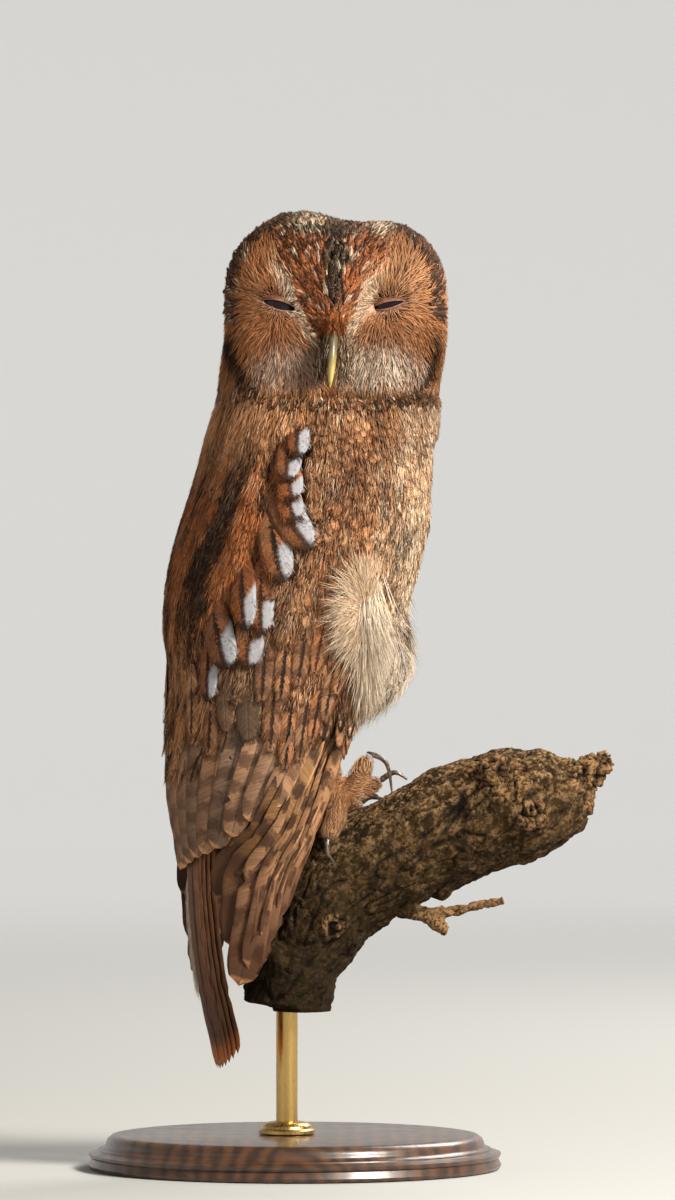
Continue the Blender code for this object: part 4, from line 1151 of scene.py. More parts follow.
def lay_placed_barbs(name, sign, line, lengths, widths, colours, proud, sunk, webs, shafts):
    """Fine barbs, coloured by where they start, that loosen the face and edges of each placed feather."""
    draw = np.random.default_rng(44)
    row = np.repeat(np.arange(len(lengths)), BARBS_PER_FEATHER)
    count = len(row)
    across, along = draw.uniform(-0.95, 1.0, count), draw.uniform(0.40, 0.985, count)
    half = np.interp(along, *zip(*BROAD_OUTLINE))
    low = np.minimum((along * 6).astype(int), 5)
    part = (along * 6 - low)[:, None]
    middle, side = (
        line[key][low, row] * (1 - part) + line[key][low + 1, row] * part for key in ("middle", "side")
    )  # fmt: skip
    start = middle + times(sign * across * half * widths[row] / 2, side)
    over = 0.06 * (1 - across**2) * half**0.5 * widths[row]
    over = over + proud[row] * along**1.5 - sunk * (1 - along) ** 1.4
    outer = across > 0.10 + 0.12 * draw.random(count)
    high = ramp(0.60, 0.68, along + across * 0.22 + 0.06 * draw.random(count))
    white = outer & (high > 0.5) & (along < 0.88) & (webs > 0)
    long = 2.4 + 2.2 * draw.random(count)
    long = np.where(white, np.minimum(long, (0.94 - along) * lengths[row]), long)
    slant = times(sign * np.sign(across) * draw.uniform(0.15, 0.65, count), side)
    way = unit(line["middle"][6][row] - line["middle"][4][row]) + slant
    shade = draw.random(count)
    ground = layered(
        colours[row], (shade * 0.6, UMBER), ((along > 0.90) * (0.15 + 0.70 * webs), SOOT),
        ((abs(across) < 0.16 + 0.2 * draw.random(count)) * shafts[row], SOOT),
    )  # fmt: skip
    ground = np.where(white[:, None], blend(shade, WEB_WHITE, tone(166, 156, 148)), ground)
    rise = over + 0.10 + 0.35 * draw.random(count) ** 2
    kept = (long > 1.1) & (over > 0.1)
    lay(
        {name: ALL}, TUFT, start[kept], long[kept], 0.5,
        lambda points, normals: along_surface(way[kept], normals), -over[kept], rise[kept],
        {"ground": ground[kept]}, BARB_TUFT, "feather_brown", body_map, stations=3, surface=PLAN,
    )  # fmt: skip


def lay_shoulder_feathers():
    across, height, wide, long, leans, high = WHITE_WEBS.T
    lengths, widths = long / 0.40, wide / 0.50
    # each tip is below the middle of its web, and aside by where the web lies on the feather
    turn, below, beside = np.radians(leans), lengths * 0.28, widths * 0.24
    tips = np.stack([across + np.sin(turn) * below - np.cos(turn) * beside, height - np.cos(turn) * below], 1)
    colours = blend(np.random.default_rng(3).random(len(tips)), CHESTNUT, RUFOUS)
    marks, trims = (np.tile(row, (len(tips), 1)) for row in ((0.35, 0.25, 0.0), (1, 0.8, 0.5)))
    lay_placed(
        "shoulder_feathers", tips, lengths, widths, leans, colours, marks, trims, 0.4 + high * 0.5, 4.0,
        (0.48, 0.2, 0.22, 0.29), ("web_barbs", 1, 0 * widths),
    )  # fmt: skip


def lay_greater_coverts():
    widths, lengths, leans, grey, barred = GREATER_COVERTS[:, 2:].T
    colours = blend(np.random.default_rng(4).random(len(grey)), RUFOUS, FAWN)
    marks = np.stack([0.32 * (grey < 0.85), barred * 1.2, 0.06 + 0 * grey], 1)
    lay_placed(
        "greater_coverts", GREATER_COVERTS[:, :2], lengths, widths, leans,
        blend(grey, colours, tone(80, 61, 48)), marks, marks * (0, 0, 0.4), 1.6 + 0 * widths, 1.4,
        (0.45, 0.0, 0.26, 0.40), ("covert_barbs", 0, 0.75 * (grey < 0.85)),
    )  # fmt: skip


lay_shoulder_feathers()
lay_greater_coverts()

# %% [markdown]
# ## Feathers of the body
# The mantle's feathers are long with a dark streak, the wing's coverts shorter and barred, and the
# breast's soft and pale. Their sizes come from the same plan as their colours.

# %% Roots of the body's feathers
CONTOURED = ["trunk", "neck", "wing_left", "wing_right"]


def between(low, high):
    return lambda points: (points[:, 2] > low) & (points[:, 2] < high)


def body_spacing(points):
    z, degrees = round_body(points)
    return 4.6 - 1.1 * ramp(325, 350, z) - 0.5 * ramp(290, 330, z) * (1 - ramp(95, 125, abs(degrees)))


roots = scatter(form, 11, body_spacing, between(200, 364))
owner, above_flight = owner_of(roots), 224 - 20 * ramp(110, 150, abs(round_body(roots)[1]))
fleshy = among(owner, CONTOURED) | (among(owner, FLIGHT[:2]) & (roots[:, 2] > above_flight))
roots = roots[fleshy & open_to_air(roots)]
print("body feather roots:", len(roots))


# %% Body feathers
def some_rows(coat, kept):
    return {key: rows[kept] for key, rows in coat.items()}


def body_marks(coat):
    count = len(coat["ground"])
    draw = np.random.default_rng(count)
    jitter = draw.random(count)
    streak = coat["streak"] * np.where(jitter < 0.25 + 0.25 * coat["coverts"], 0.0, 0.75 + 0.5 * jitter)
    marks = [streak, coat["bars"] * (0.5 + jitter), coat["fringe"] * (0.6 + 0.8 * draw.random(count))]
    trims = [0 * jitter, 0 * jitter, 0.35 * coat["coverts"] + 0.2 * coat["mantle"]]
    return {"ground": coat["soft"], "marks": np.stack(marks, 1), "trims": np.stack(trims, 1)}


def lay_body_feathers():
    draw = np.random.default_rng(5)
    coat = body_coat(roots)
    mantle, coverts, breast = (coat[key] for key in ("mantle", "coverts", "breast"))
    high = ramp(325, 350, roots[:, 2])
    length = 30.0 * mantle + 23.0 * coverts + 24.0 * breast - 9.0 * high
    width = 8.0 * mantle + 7.0 * coverts + 7.5 * breast - 1.6 * high
    length, width = (v * (0.86 + 0.28 * draw.random(len(roots))) for v in (length, width))
    room = room_before_placed(roots, body_lie(*form.nearest(roots)[:2]), length)
    length = length * np.where(room < 1, np.maximum(room - 0.05, 0), 1)
    free = (room > 0.42) & (coat["fluff"] < 0.6)
    here, length, width, coat = roots[free], length[free], width[free], some_rows(coat, free)
    z, degrees = round_body(here)
    yaw = np.radians(draw.normal(0, 6, len(here)))
    proud = 0.05 + 0.22 * draw.random(len(here)) + 1.9 * ramp(234, 216, z)
    marks, line = body_marks(coat), {}
    near, on_mantle = degrees > 0, coat["mantle"] > 0.5
    zone = np.select([z > 325, coat["breast"] > 0.5, near & on_mantle, near, on_mantle], range(5), 5)
    titles = ("nape_and_throat", "breast", "mantle_right", "coverts_right", "mantle_left", "coverts_left")
    lay(
        {f"{title}_feathers": zone == number for number, title in enumerate(titles)}, CONTOUR, here,
        length, width, body_lie, coat_depth(here) * 0.85, proud, marks, BODY_FEATHER, "feather_brown",
        body_map, yaw=yaw, stations=5, wrap=True, line=line,
    )  # fmt: skip
    return line, length, width, marks


# %% Loose barbs over the body's feathers
def lay_body_barbs(line, length, width, marks):
    """Fine barbs that take their colour from the part of a feather that they lie on."""
    found = scatter(form, 13, 1.10, between(203, 366), density=3.0)
    z, degrees = round_body(found)
    above_flight = 222 - 18 * ramp(110, 140, abs(degrees))
    found = found[among(owner_of(found), CONTOURED) | (z > 350) | (z > above_flight)]
    draw = np.random.default_rng(14)
    coat = body_coat(found)
    long = (7.5 + 3.5 * coat["mantle"] + 2.0 * coat["breast"]) * (0.7 + 0.6 * draw.random(len(found)))
    room = room_before_placed(found, body_lie(found, form.nearest(found)[1]), long)
    keep = open_to_air(found) & (room > 0.45) & (coat["fluff"] < 0.5)
    found, long, coat = found[keep], (long * room)[keep], some_rows(coat, keep)
    count = len(found)
    # the feather whose showing part is nearest
    middles, ways, sides = line["middle"][3], unit(line["middle"][4] - line["middle"][2]), line["side"][3]
    tree = KDTree(len(middles))
    for i, middle in enumerate(middles):
        tree.insert(middle, i)
    tree.balance()
    under = np.array([tree.find(p)[1] for p in found])
    away = found - middles[under]
    across = dot(away, sides[under]) / (width[under] / 2)
    along = 0.75 + dot(away, ways[under]) / length[under]
    chance = np.random.default_rng(15).random(len(middles))[under]
    ragged = mottle(found, 1.8, 16) - 0.5
    streak, bars, fringe = marks["marks"][under].T
    band = ramp(0.1, 0.7, np.sin((along * 3.3 - across**2 * 0.35 + chance + 0.4 * ragged) * math.tau))
    pale = np.clip(ramp(0.55, 1.0, abs(across) + 0.4 * ragged) + ramp(0.88, 1.0, along), 0, 1)
    dark = ramp(0.0, 0.25, streak * 0.62 - abs(across) - 0.5 * ragged)
    ground = layered(
        marks["ground"][under], (0.75, coat["ground"]),
        ((mottle(found, 1.4, 17) - 0.5) * (0.7 - 0.4 * coat["mantle"]), UMBER), (band * bars * 0.8, UMBER),
        (pale * fringe * 0.7, CREAM), (dark * 0.9, blend(chance, SOOT, UMBER)),
    )  # fmt: skip
    z, degrees = round_body(found)
    neck, right = z > 318, degrees > 0
    zones = {"body_barbs_neck": neck, "body_barbs_right": ~neck & right, "body_barbs_left": ~neck & ~right}
    wide = 0.75 + 0.45 * draw.random(count)
    proud = 0.30 + 0.75 * draw.random(count) ** 2 + 1.7 * ramp(234, 216, z)
    yaw = np.radians(draw.normal(0, 11, count))
    lay(
        zones, TUFT, found, long, wide, body_lie, 0.9, proud, {"ground": ground}, BARB_TUFT, "feather_brown",
        body_map, yaw=yaw, stations=3,
    )  # fmt: skip


lay_body_barbs(*lay_body_feathers())

# %% [markdown]
# ## Feathers of the head
# The face is a dish of hair-fine feathers that run out from each eye. They are laid as thousands of
# slim tufts, each coloured by where it starts. The crown, the ruff and the back of the head have
# small rounded feathers.

# %% Face tufts
def face_area(points):
    _, _, ahead, slit_far = face_places(points)
    return (points[:, 2] > 359.5) & (ahead > -3) & (slit_far > 0.25)


def lay_face():
    found = scatter(form, 21, lambda points: 0.64 + 0.38 * ramp(4, 10, face_places(points)[3]), face_area)
    across, up, _, slit_far = face_places(found)
    draw = np.random.default_rng(7)
    count = len(found)
    ground, wedge, _ = head_coat(found)
    keep = draw.random(count) > 0.8 * wedge
    ground = blend((draw.random(count) - 0.55) * 0.5, ground, UMBER)
    length = 2.6 + 7.0 * ramp(0, 9, slit_far)
    length = length * (0.8 + 0.4 * draw.random(count)) * (1 - 0.35 * wedge)
    length = np.minimum(length, 3.5 + 0.9 * np.maximum(up + 41, 0))
    width = 0.46 + 0.34 * ramp(1, 10, slit_far) + 0.25 * draw.random(count)
    yaw = np.radians(draw.normal(0, 13, count) + 44 * (mottle(found, 6.0, 21) - 0.5))
    proud = 0.45 + 0.75 * draw.random(count) ** 2 * (0.4 + 0.6 * ramp(0, 7, slit_far))
    lay(
        {"face_right_tufts": (across < 0) & keep, "face_left_tufts": (across >= 0) & keep}, TUFT, found,
        length, width, head_lie, ramp(1.0, 5.0, slit_far), proud, {"ground": ground}, FACE_TUFT,
        "feather_face", head_map, yaw=yaw,
    )  # fmt: skip


# %% Crown, back of the head and wedge
def crown_area(points):
    _, up, ahead, _ = face_places(points)
    return (points[:, 2] > 357) & ((ahead < 0) | (up > 32))


def lay_head_feathers():
    found = scatter(form, 22, 2.4, crown_area)
    found = found[among(owner_of(found), ["head"])]
    draw = np.random.default_rng(8)
    count = len(found)
    ground, _, crown = head_coat(found)
    length = (10.0 - 3.0 * crown) * (0.85 + 0.3 * draw.random(count))
    proud = 0.2 + 0.5 * draw.random(count) + 0.9 * draw.random(count) ** 3
    yaw = np.radians(draw.normal(0, 8, count))
    streak = (0.2 + 0.9 * draw.random(count)) * (0.25 + 0.75 * crown)
    marks = np.stack([streak, 0.2 * crown, 0.12 + 0 * crown], 1)
    lay(
        {"head_feathers": ALL}, SMALL, found, length, 4.8 - 1.4 * crown, head_lie, 2.2, proud,
        {"ground": ground, "marks": marks, "trims": marks * (0, 0, 1)}, BODY_FEATHER, "feather_face",
        head_map, yaw=yaw, wrap=True,
    )  # fmt: skip


def forehead_area(points):
    return (points[:, 2] > 380) & (head_coat(points)[1] > 0.75)


def lay_forehead_scales():
    found = scatter(form, 23, 1.5, forehead_area)
    draw = np.random.default_rng(9)
    count = len(found)
    kind = draw.random(count)
    ground = blend((kind < 0.20) * 0.7, head_coat(found)[0], SOOT)
    bright = ramp(0.02, 0.09, ground.mean(axis=1))  # the dark middle stripe has no pale tips
    ground = blend((kind > 0.86) * 0.7 * bright, ground, CREAM)
    length = 6.0 + 3.5 * draw.random(count)
    proud = 0.5 + 1.3 * draw.random(count) ** 2
    yaw = np.radians(draw.normal(0, 16, count))
    streak = 0.5 * draw.random(count) * (0.6 + 0.8 * ramp(405, 430, found[:, 2]))
    marks = np.stack([streak, 0 * bright, bright], 1)
    lay(
        {"forehead_scales": ALL}, SCALE, found, length, 2.1, head_lie, 1.0, proud,
        {"ground": ground, "marks": marks, "trims": 0 * marks}, BODY_FEATHER, "feather_face", head_map,
        yaw=yaw, wrap=True,
    )  # fmt: skip


# %% Rim of the face
LOW_RIM = 380  # the rim's lower part ends at this height


def rim_area(points):
    across, up, ahead, _ = face_places(points)
    wavy = 4.0 * (mottle(points, 9.0, 28) - 0.5)
    low_edge = abs(points[:, 2] - 358.2 - 0.0016 * across**2 - wavy) < 2.2
    far = ((abs(across) / 49.5) ** 3 + (abs(up) / 40.5) ** 3) ** (1 / 3) * 50
    return (low_edge & (ahead > -20)) | ((abs(far - 47.0) < 2.6) & (up > -5) & (ahead > -2))


def rim_lie(points, normals):
    low = (points[..., 2] < LOW_RIM)[..., None]
    outward = DOWN + times(face_places(points)[0], np.array((0.012, 0, 0)))
    return along_surface(np.where(low, outward, head_lie(points, normals)), normals)


def lay_rim_feathers():
    """Small dark-tipped feathers that stand along the lower edge of the face and over its top rim."""
    found = scatter(form, 26, 1.55, rim_area)
    draw = np.random.default_rng(27)
    count = len(found)
    below = found[:, 2] < LOW_RIM
    kind = draw.random(count)
    light = crown_light(*face_places(found)[:2])
    ground = layered(
        blend(kind, RUFOUS, np.where(below[:, None], FAWN, CHESTNUT)),
        ((kind < np.where(below, 0.3, 0.6)) * 0.9, SOOT), ((kind > 0.93) * 0.6, CREAM),
        (light * 0.95, blend(kind, FAWN, CROWN_CREAM)),
    )  # fmt: skip
    proud = np.where(below, 0.3, 0.5) + np.where(below, 0.8, 1.3) * draw.random(count)
    length = 5.0 + 4.0 * draw.random(count)
    yaw = np.radians(draw.normal(0, 20, count))
    marks = np.stack([0.5 * (1 - light), 0 * light, 0.3 + 0 * light], 1)
    lay(
        {"rim_feathers": ALL}, SMALL, found, length, 2.6, rim_lie, 0.8, proud,
        {"ground": ground, "marks": marks, "trims": 0 * marks}, BODY_FEATHER, "feather_face", head_map,
        yaw=yaw, wrap=True,
    )  # fmt: skip


lay_face()
lay_head_feathers()
lay_forehead_scales()
lay_rim_feathers()

# %% Feathers over the bill's root, and bristles beside it
bill_form = Surface(remeshed(joined_copy(["head", "bill_upper"], "bill_form", 0.1), 1.4, 2))


def down_the_bill(points, normals):
    inward = 0.04 * (FACE_MIDDLE[0] - points[..., 0])
    return along_surface(DOWN + times(inward, np.array((1.0, 0, 0))), normals)


def lay_bill_root():
    draw = np.random.default_rng(24)
    count = 230
    x = FACE_MIDDLE[0] + draw.normal(0, 2.6, count)
    z = FACE_MIDDLE[2] - 3.5 - 7.5 * draw.random(count) + 0.5 * abs(x - FACE_MIDDLE[0])
    start = np.array([bill_form.from_side(*place) for place in zip(x, z)])
    length = 6.0 + 4.0 * draw.random(count)
    proud = 0.5 + 0.9 * draw.random(count)
    yaw = np.radians(draw.normal(0, 9, count))
    ground = blend(draw.random(count), UMBER, RUFOUS)
    lay(
        {"bill_root_tufts": ALL}, TUFT, start, length, 1.3, down_the_bill, 0.4, proud, {"ground": ground},
        FACE_TUFT, "feather_face", head_map, yaw=yaw, surface=bill_form,
    )  # fmt: skip


def lay_bristles():
    draw = np.random.default_rng(12)
    count = 460
    side = np.where(np.arange(count) % 2, 1.0, -1.0)
    at = draw.random(count)
    x = FACE_MIDDLE[0] + side * (2.6 + 5.2 * draw.random(count) * (0.4 + at))
    z = FACE_MIDDLE[2] - 9.0 - 20.0 * at
    start = np.array([bill_form.from_side(*place) for place in zip(x, z)])
    aim = np.array((FACE_MIDDLE[0], -52.0, FACE_MIDDLE[2] - 44.0)) + draw.normal(0, 3.5, (count, 3))
    aim = aim + times(side, np.array((7, 0, 0)))
    length = 7.0 + 6.0 * draw.random(count)
    proud = 0.6 + 2.2 * draw.random(count)
    kind, dark = draw.random(count)[:, None], np.where(side > 0, 0.45, 0.62)[:, None]
    ground = np.select([kind < dark, kind < 0.82], [UMBER, tone(136, 104, 76)], tone(220, 198, 168))
    lay(
        {"bill_bristles": ALL}, LONG_TUFT, start, length, 0.75,
        lambda points, normals: along_surface(unit(aim - points), normals), 0.5, proud, {"ground": ground},
        FACE_TUFT, "feather_face", head_map, stations=5, surface=bill_form,
    )  # fmt: skip


lay_bill_root()
lay_bristles()

# %% [markdown]
# ## Flight feathers
# Secondaries, primaries and tail feathers are long stiff vanes, each one seen as a barred strip. Every
# feather is a fine grid bent along its own line on the wing, tilted like a slate so that its leading
# edge lies over its neighbour, with a raised shaft and a few splits between its barbs.

# %% One flight feather
COLUMNS = (-1.0, -0.82, -0.6, -0.36, -0.14, -0.035, 0.035, 0.14, 0.36, 0.6, 0.82, 1.0)
SPANS = np.linspace(0, 1, 35) ** 0.9  # how far along a feather each row of its grid is


def feather_outline(wide, tip, root):
    """Half-widths of a flight feather: narrow at the root, parallel, and rounded at the tip."""
    grown = root + (1 - root) * ramp(0, 0.3, SPANS)
    rounding = np.sqrt(np.clip(1 - ((SPANS - (1 - tip)) / tip).clip(0, 1) ** 2, 0, 1))
    return np.maximum(wide * grown * rounding, 0.12)


def flight_feather(bm, frame, outline, tilt, seed, notches):
    """Adds a vane to a bmesh. frame has the middle, outward way and sideways way of each row.
    Returns (across, along) for each vertex, in order."""
    draw = np.random.default_rng(seed)
    splits = [
        (draw.choice((-1, 1)), draw.uniform(0.45, 0.97), draw.uniform(0.12, 0.34)) for _ in range(notches)
    ]  # fmt: skip
    steps = len(COLUMNS) - 1, len(SPANS) - 1
    grid = bmesh.ops.create_grid(bm, x_segments=steps[0], y_segments=steps[1], size=1)["verts"]
    middle, out, aside = frame
    wide = feather_outline(*outline)
    places = []
    for vert in grid:
        column, row = (round((v + 1) / 2 * count) for v, count in zip(vert.co, steps))
        across, along = COLUMNS[column], SPANS[row]
        reach = across * wide[row]
        for side, at, deep in splits:
            if side * across > 0.7 and abs(along - at) < 0.011:
                reach -= side * wide[row] * deep
        ridge = 0.42 * max(0.0, 1 - abs(across) / 0.12) * (1 - 0.6 * along)
        camber = -0.09 * wide[row] * across * across
        ripple = 0.12 * math.sin(along * 50 + seed) * across * across
        lift = ridge + camber + tilt * across * wide[row] + ripple
        vert.co = Vector(middle[row] + aside[row] * reach + out[row] * lift) * MM
        places.append((across, along))
    return places


def flight_piece(name, feathers, replaced):
    """One piece of many flight feathers. Each is a dictionary for flight_feather, with its colours."""
    bm = bmesh.new()
    layers = {key: bm.verts.layers.float_vector.new(key) for key in ("vane", "ground", "marks", "trims")}
    uv = bm.loops.layers.uv.new("OFBake")
    for number, feather in enumerate(feathers):
        rows = {key: feather.pop(key)[:3] for key in ("ground", "marks", "trims")}
        part = bmesh.new()
        places = flight_feather(part, seed=number * 7 + len(name), **feather)
        bmesh.ops.solidify(part, geom=part.faces[:], thickness=0.45 * MM)
        bmesh.ops.recalc_face_normals(part, faces=part.faces)
        mesh = bpy.data.meshes.new("one_feather")
        part.to_mesh(mesh)
        part.free()
        first_vert, first_face = len(bm.verts), len(bm.faces)
        bm.from_mesh(mesh)
        bpy.data.meshes.remove(mesh)
        chance = (number * 0.618 + 0.13 * len(name)) % 1.0
        for offset, vert in enumerate(bm.verts[first_vert:]):
            vert[layers["vane"]] = (*places[offset % len(places)], chance)
            for key, row in rows.items():
                vert[layers[key]] = row
        for face in bm.faces[first_face:]:
            for loop in face.loops:
                across, along, _ = loop.vert[layers["vane"]]
                column = (number + 0.5 + 0.42 * across) / len(feathers)
                loop[uv].uv = (0.01 + 0.98 * column, 0.01 + 0.98 * along)
    finished(piece_from(bm, name), [replaced], FLIGHT_FEATHER)


def flight_finish():
    """Broad smoky bars over brown, a pale edge, fine slanting barbs, a darker shaft, and a darker tip that is
    partly painted shade.
    """
    f = Finish("flight_feather")
    across, along, chance = f.parts(f.attribute("vane"))
    count, depth, edge = f.parts(f.attribute("marks"))
    length, plain, web = f.parts(f.attribute("trims"))
    ground = f.attribute("ground", "Color")
    wide, ragged, cloud = abs(across), f.noise(2.2, 3) - 0.5, f.noise(6.0, 3)
    lines = f.barbs(along * length * 1.6 - wide * 7.0, chance * 50.0 + across * 0.5)
    band = (along * count + chance * 0.9 - wide * 0.12 + ragged * 0.5).wave() + (cloud - 0.5) * 1.3
    band = band.rise(0.28, 0.90) * depth * cloud.rise(0.25, 0.6, 0.55, 1.0)
    pale = (across + ragged * 0.12).rise(0.86, 0.98) * edge * cloud.rise(0.2, 0.5)
    colour = f.over(
        ground, (cloud.rise(0.3, 0.7) * 0.3, f.mix(0.5, FAWN, ground)),
        (lines.rise(0.3, 0.75) * 0.45, (0.02, 0.011, 0.006, 1)),
        ((ragged * 0.3 - across).rise(-0.1, 1.1) * 0.55, UMBER), (band, f.mix(cloud, SOOT, UMBER)),
        (pale, FAWN),
        # web darkens each feather towards its tip: partly its own darker tip, partly painted shade on the
        # lower wing and tail
        (along.rise(0.35, 1.0) * web, UMBER), ((along + ragged * 0.02).rise(0.90, 0.97) * plain, RUFOUS),
        ((along + ragged * 0.01).rise(0.965, 0.985) * edge * 0.8, FAWN),
        ((1.0 - wide.rise(0.03, 0.08)) * 0.4, SOOT),
    )  # fmt: skip
    bump = f.bump(lines * 0.7 + wide.rise(0.5, 1.0) * ragged, 0.22)
    return f.set(Base_Color=colour, Normal=bump, Roughness=0.62, Specular_IOR_Level=0.22)


FLIGHT_FEATHER = flight_finish()

# %% Wings
SECONDARY_COUNT = 9
SECONDARY_TIPS = (
    (0.0, 172.0), (0.1, 167.0), (0.25, 157.0), (0.40, 149.5), (0.6, 146.0), (0.8, 140.5), (1.0, 139.0),
)  # fmt: skip
PRIMARIES = (  # part of the way to the leading edge, height of the tip, half-width
    (0.07, 126.0, 8.6), (0.27, 104.0, 8.6), (0.50, 87.5, 8.4), (0.70, 95.0, 7.2), (0.86, 108.0, 6.0),
    (0.97, 120.0, 4.6),
)  # fmt: skip
WARM_VANE, GREY_VANE, TAN_VANE = tone(186, 138, 102), tone(134, 108, 88), tone(132, 96, 56)


def wing_line(heights, degrees, side, proud):
    """The frame of a feather that runs through heights and degrees on the wing.
    It starts 5 mm under the surface, where the coverts hide it."""
    keys = np.linspace(0, 1, len(heights))

    def place(at, more=0.0):
        z, turn = (np.interp(at, keys, rows) for rows in (heights, degrees))
        return body_point(z, side * (turn + more), proud - 5.0 * (1 - ramp(0.05, 0.50, at)))

    way = place(np.clip(SPANS + 0.01, 0, 1)) - place(np.clip(SPANS - 0.01, 0, 1))
    forward = place(SPANS, -1.0) - place(SPANS, 1.0)
    out = unit(np.cross(forward, way) * side)
    aside = unit(np.cross(unit(way), out))
    return place(SPANS), out, times(np.sign(dot(aside, forward)), aside)


def wing_feathers(title, side):
    draw = np.random.default_rng(61)
    secondaries, primaries = [], []
    # the last of each feather's trims sets how far it darkens towards its tip, partly as painted shade
    for n in range(SECONDARY_COUNT):
        at = (n + 0.4) / SECONDARY_COUNT
        tip = np.interp(at, *zip(*SECONDARY_TIPS))
        heights = np.linspace(228, tip, 12)
        hand = np.where(heights > 214, 86 - 0.2 * (heights - 214), curve_through(HAND, heights))
        trailing = curve_through(TRAILING, np.maximum(heights, 205))
        trailing = trailing + OVERLAP[title] * ramp(232, 206, heights)
        secondaries.append({
            "frame": wing_line(heights, hand + (trailing - hand) * at, side, -0.1 if side > 0 else -0.9),
            "outline": (6.3, 0.12, 0.8), "tilt": 0.16, "notches": 2,
            "ground": blend(draw.random(), WARM_VANE, GREY_VANE),
            "marks": ((228 - tip) / 12.5, draw.uniform(0.25, 0.7), 1.0), "trims": (228 - tip, 0.0, 0.25),
        })  # fmt: skip
    for n, (at, tip, half) in enumerate(PRIMARIES):
        heights = np.linspace(222, tip, 14)
        hand, leading = np.minimum(curve_through(HAND, heights), 134), curve_through(LEADING, heights)
        primaries.append({
            "frame": wing_line(heights, hand + (leading - hand) * at, side, -0.9 - 0.12 * n),
            "outline": (half, 0.10, 0.8), "tilt": 0.10, "notches": 2,
            "ground": blend(draw.random() * 0.8, TAN_VANE, WARM_VANE),
            "marks": ((222 - tip) / 16.5, 0.95, 0.5 if n < 4 else 1.0), "trims": (222 - tip, 0.0, 0.95),
        })  # fmt: skip
    flight_piece(f"secondary_feathers_{title}", secondaries, f"secondaries_{title}")
    flight_piece(f"primary_feathers_{title}", primaries, f"primaries_{title}")


for title, sign in SIDES.items():
    wing_feathers(title, sign)

# %% Tail
TAIL_MIDDLE = ((200, 27.0), (170, 25.0), (150, 22.0), (134, 21.0), (96, 15.5), (64, 8.0), (40, 3.0))
TAIL_HALF = ((200, 10.0), (170, 13.5), (140, 17.0), (100, 19.5), (60, 21.0), (40, 20.5))
TAIL_COUNT = 12
TAIL_ARCH = 6.6


def tail_point(z, offset, width, sunk=0.0):
    """Points of the tail's arched back, at -1 to 1 of a part of its width."""
    back = curve_through(TAIL_MIDDLE, z) + TAIL_ARCH * (1 - offset**2) - sunk
    return axis_at(z) - times(back, AHEAD) + times(curve_through(TAIL_HALF, z) * width * offset, RIGHT)


def tail_feathers():
    feathers = []
    for n in range(TAIL_COUNT):
        offset = 2 * (n + 0.5) / TAIL_COUNT - 1
        middle = tail_point(198 - (150.0 - 9.0 * offset**2) * SPANS, offset, 0.82, 0.6)
        # the last of the trims darkens each tail feather towards its tip, partly as painted shade
        feathers.append({
            "frame": (middle, 0 * middle - AHEAD, 0 * middle + RIGHT * np.sign(offset)), "tilt": -0.10,
            "outline": (4.4, 0.07, 0.6), "notches": 9,
            "ground": blend(np.array(0.15 + 0.2 * (n % 2) - 0.3 * offset), tone(124, 78, 48), GREY_BROWN),
            "marks": (9.0, 0.25, 0.35), "trims": (150.0, 0.8, 0.80),
        })  # fmt: skip
    flight_piece("tail_feathers", feathers, "tail")


tail_feathers()

# %% [markdown]
# ## Eyes, lids, bill and claws
# These are smooth hard things among the feathers. The eye is a dark glass ball, deep set, with a thin
# wet rim of lid round a slit. The bill is horn, drawn along a curved line. The claws are the packed
# ones, smoothed and polished.

# %% Eyes
def make_eyes():
    glass = Finish("dark_eye")
    colour = glass.mix(glass.noise(1.5), (0.004, 0.003, 0.004, 1), (0.016, 0.010, 0.010, 1))
    glass.set(Base_Color=colour, Roughness=0.03, Specular_IOR_Level=0.16)
    for side, centre in EYES.items():
        bm = bmesh.new()
        bmesh.ops.create_uvsphere(bm, u_segments=40, v_segments=24, radius=EYE_RADIUS * MM)
        bmesh.ops.rotate(bm, matrix=Matrix.Rotation(math.pi / 2, 3, "X"), verts=bm.verts)
        bmesh.ops.translate(bm, vec=Vector(centre) * MM, verts=bm.verts)
        finished(piece_from(bm, f"eye_ball_{side}"), ["eye_" + side], glass)


make_eyes()

# %% Lids
SLITS = {"right": (7.7, 2.3, 15.0), "left": (7.7, 1.7, -13.0)}  # half-length, half-height, lean in degrees
LID_RINGS = (  # how far out from the slit, and the height over the ball, in millimetres
    (-0.30, -0.1), (-0.1, 0.3), (0.15, 0.5), (0.4, 0.45), (0.7, 0.2), (1.3, 0.0), (2.2, -0.2), (3.2, -0.5),
)  # fmt: skip


def slit_edge(side, turn, grow):
    """A point of the almond between the lids, across and up from the eye's middle."""
    long, tall, lean = SLITS[side]
    x, z = (long + grow) * math.cos(turn), (tall + grow) * math.sin(turn) * (1.0 - 0.25 * math.cos(turn) ** 2)
    if z > 0:
        z *= 0.8
    lean = math.radians(lean)
    return x * math.cos(lean) + z * math.sin(lean), -x * math.sin(lean) + z * math.cos(lean)


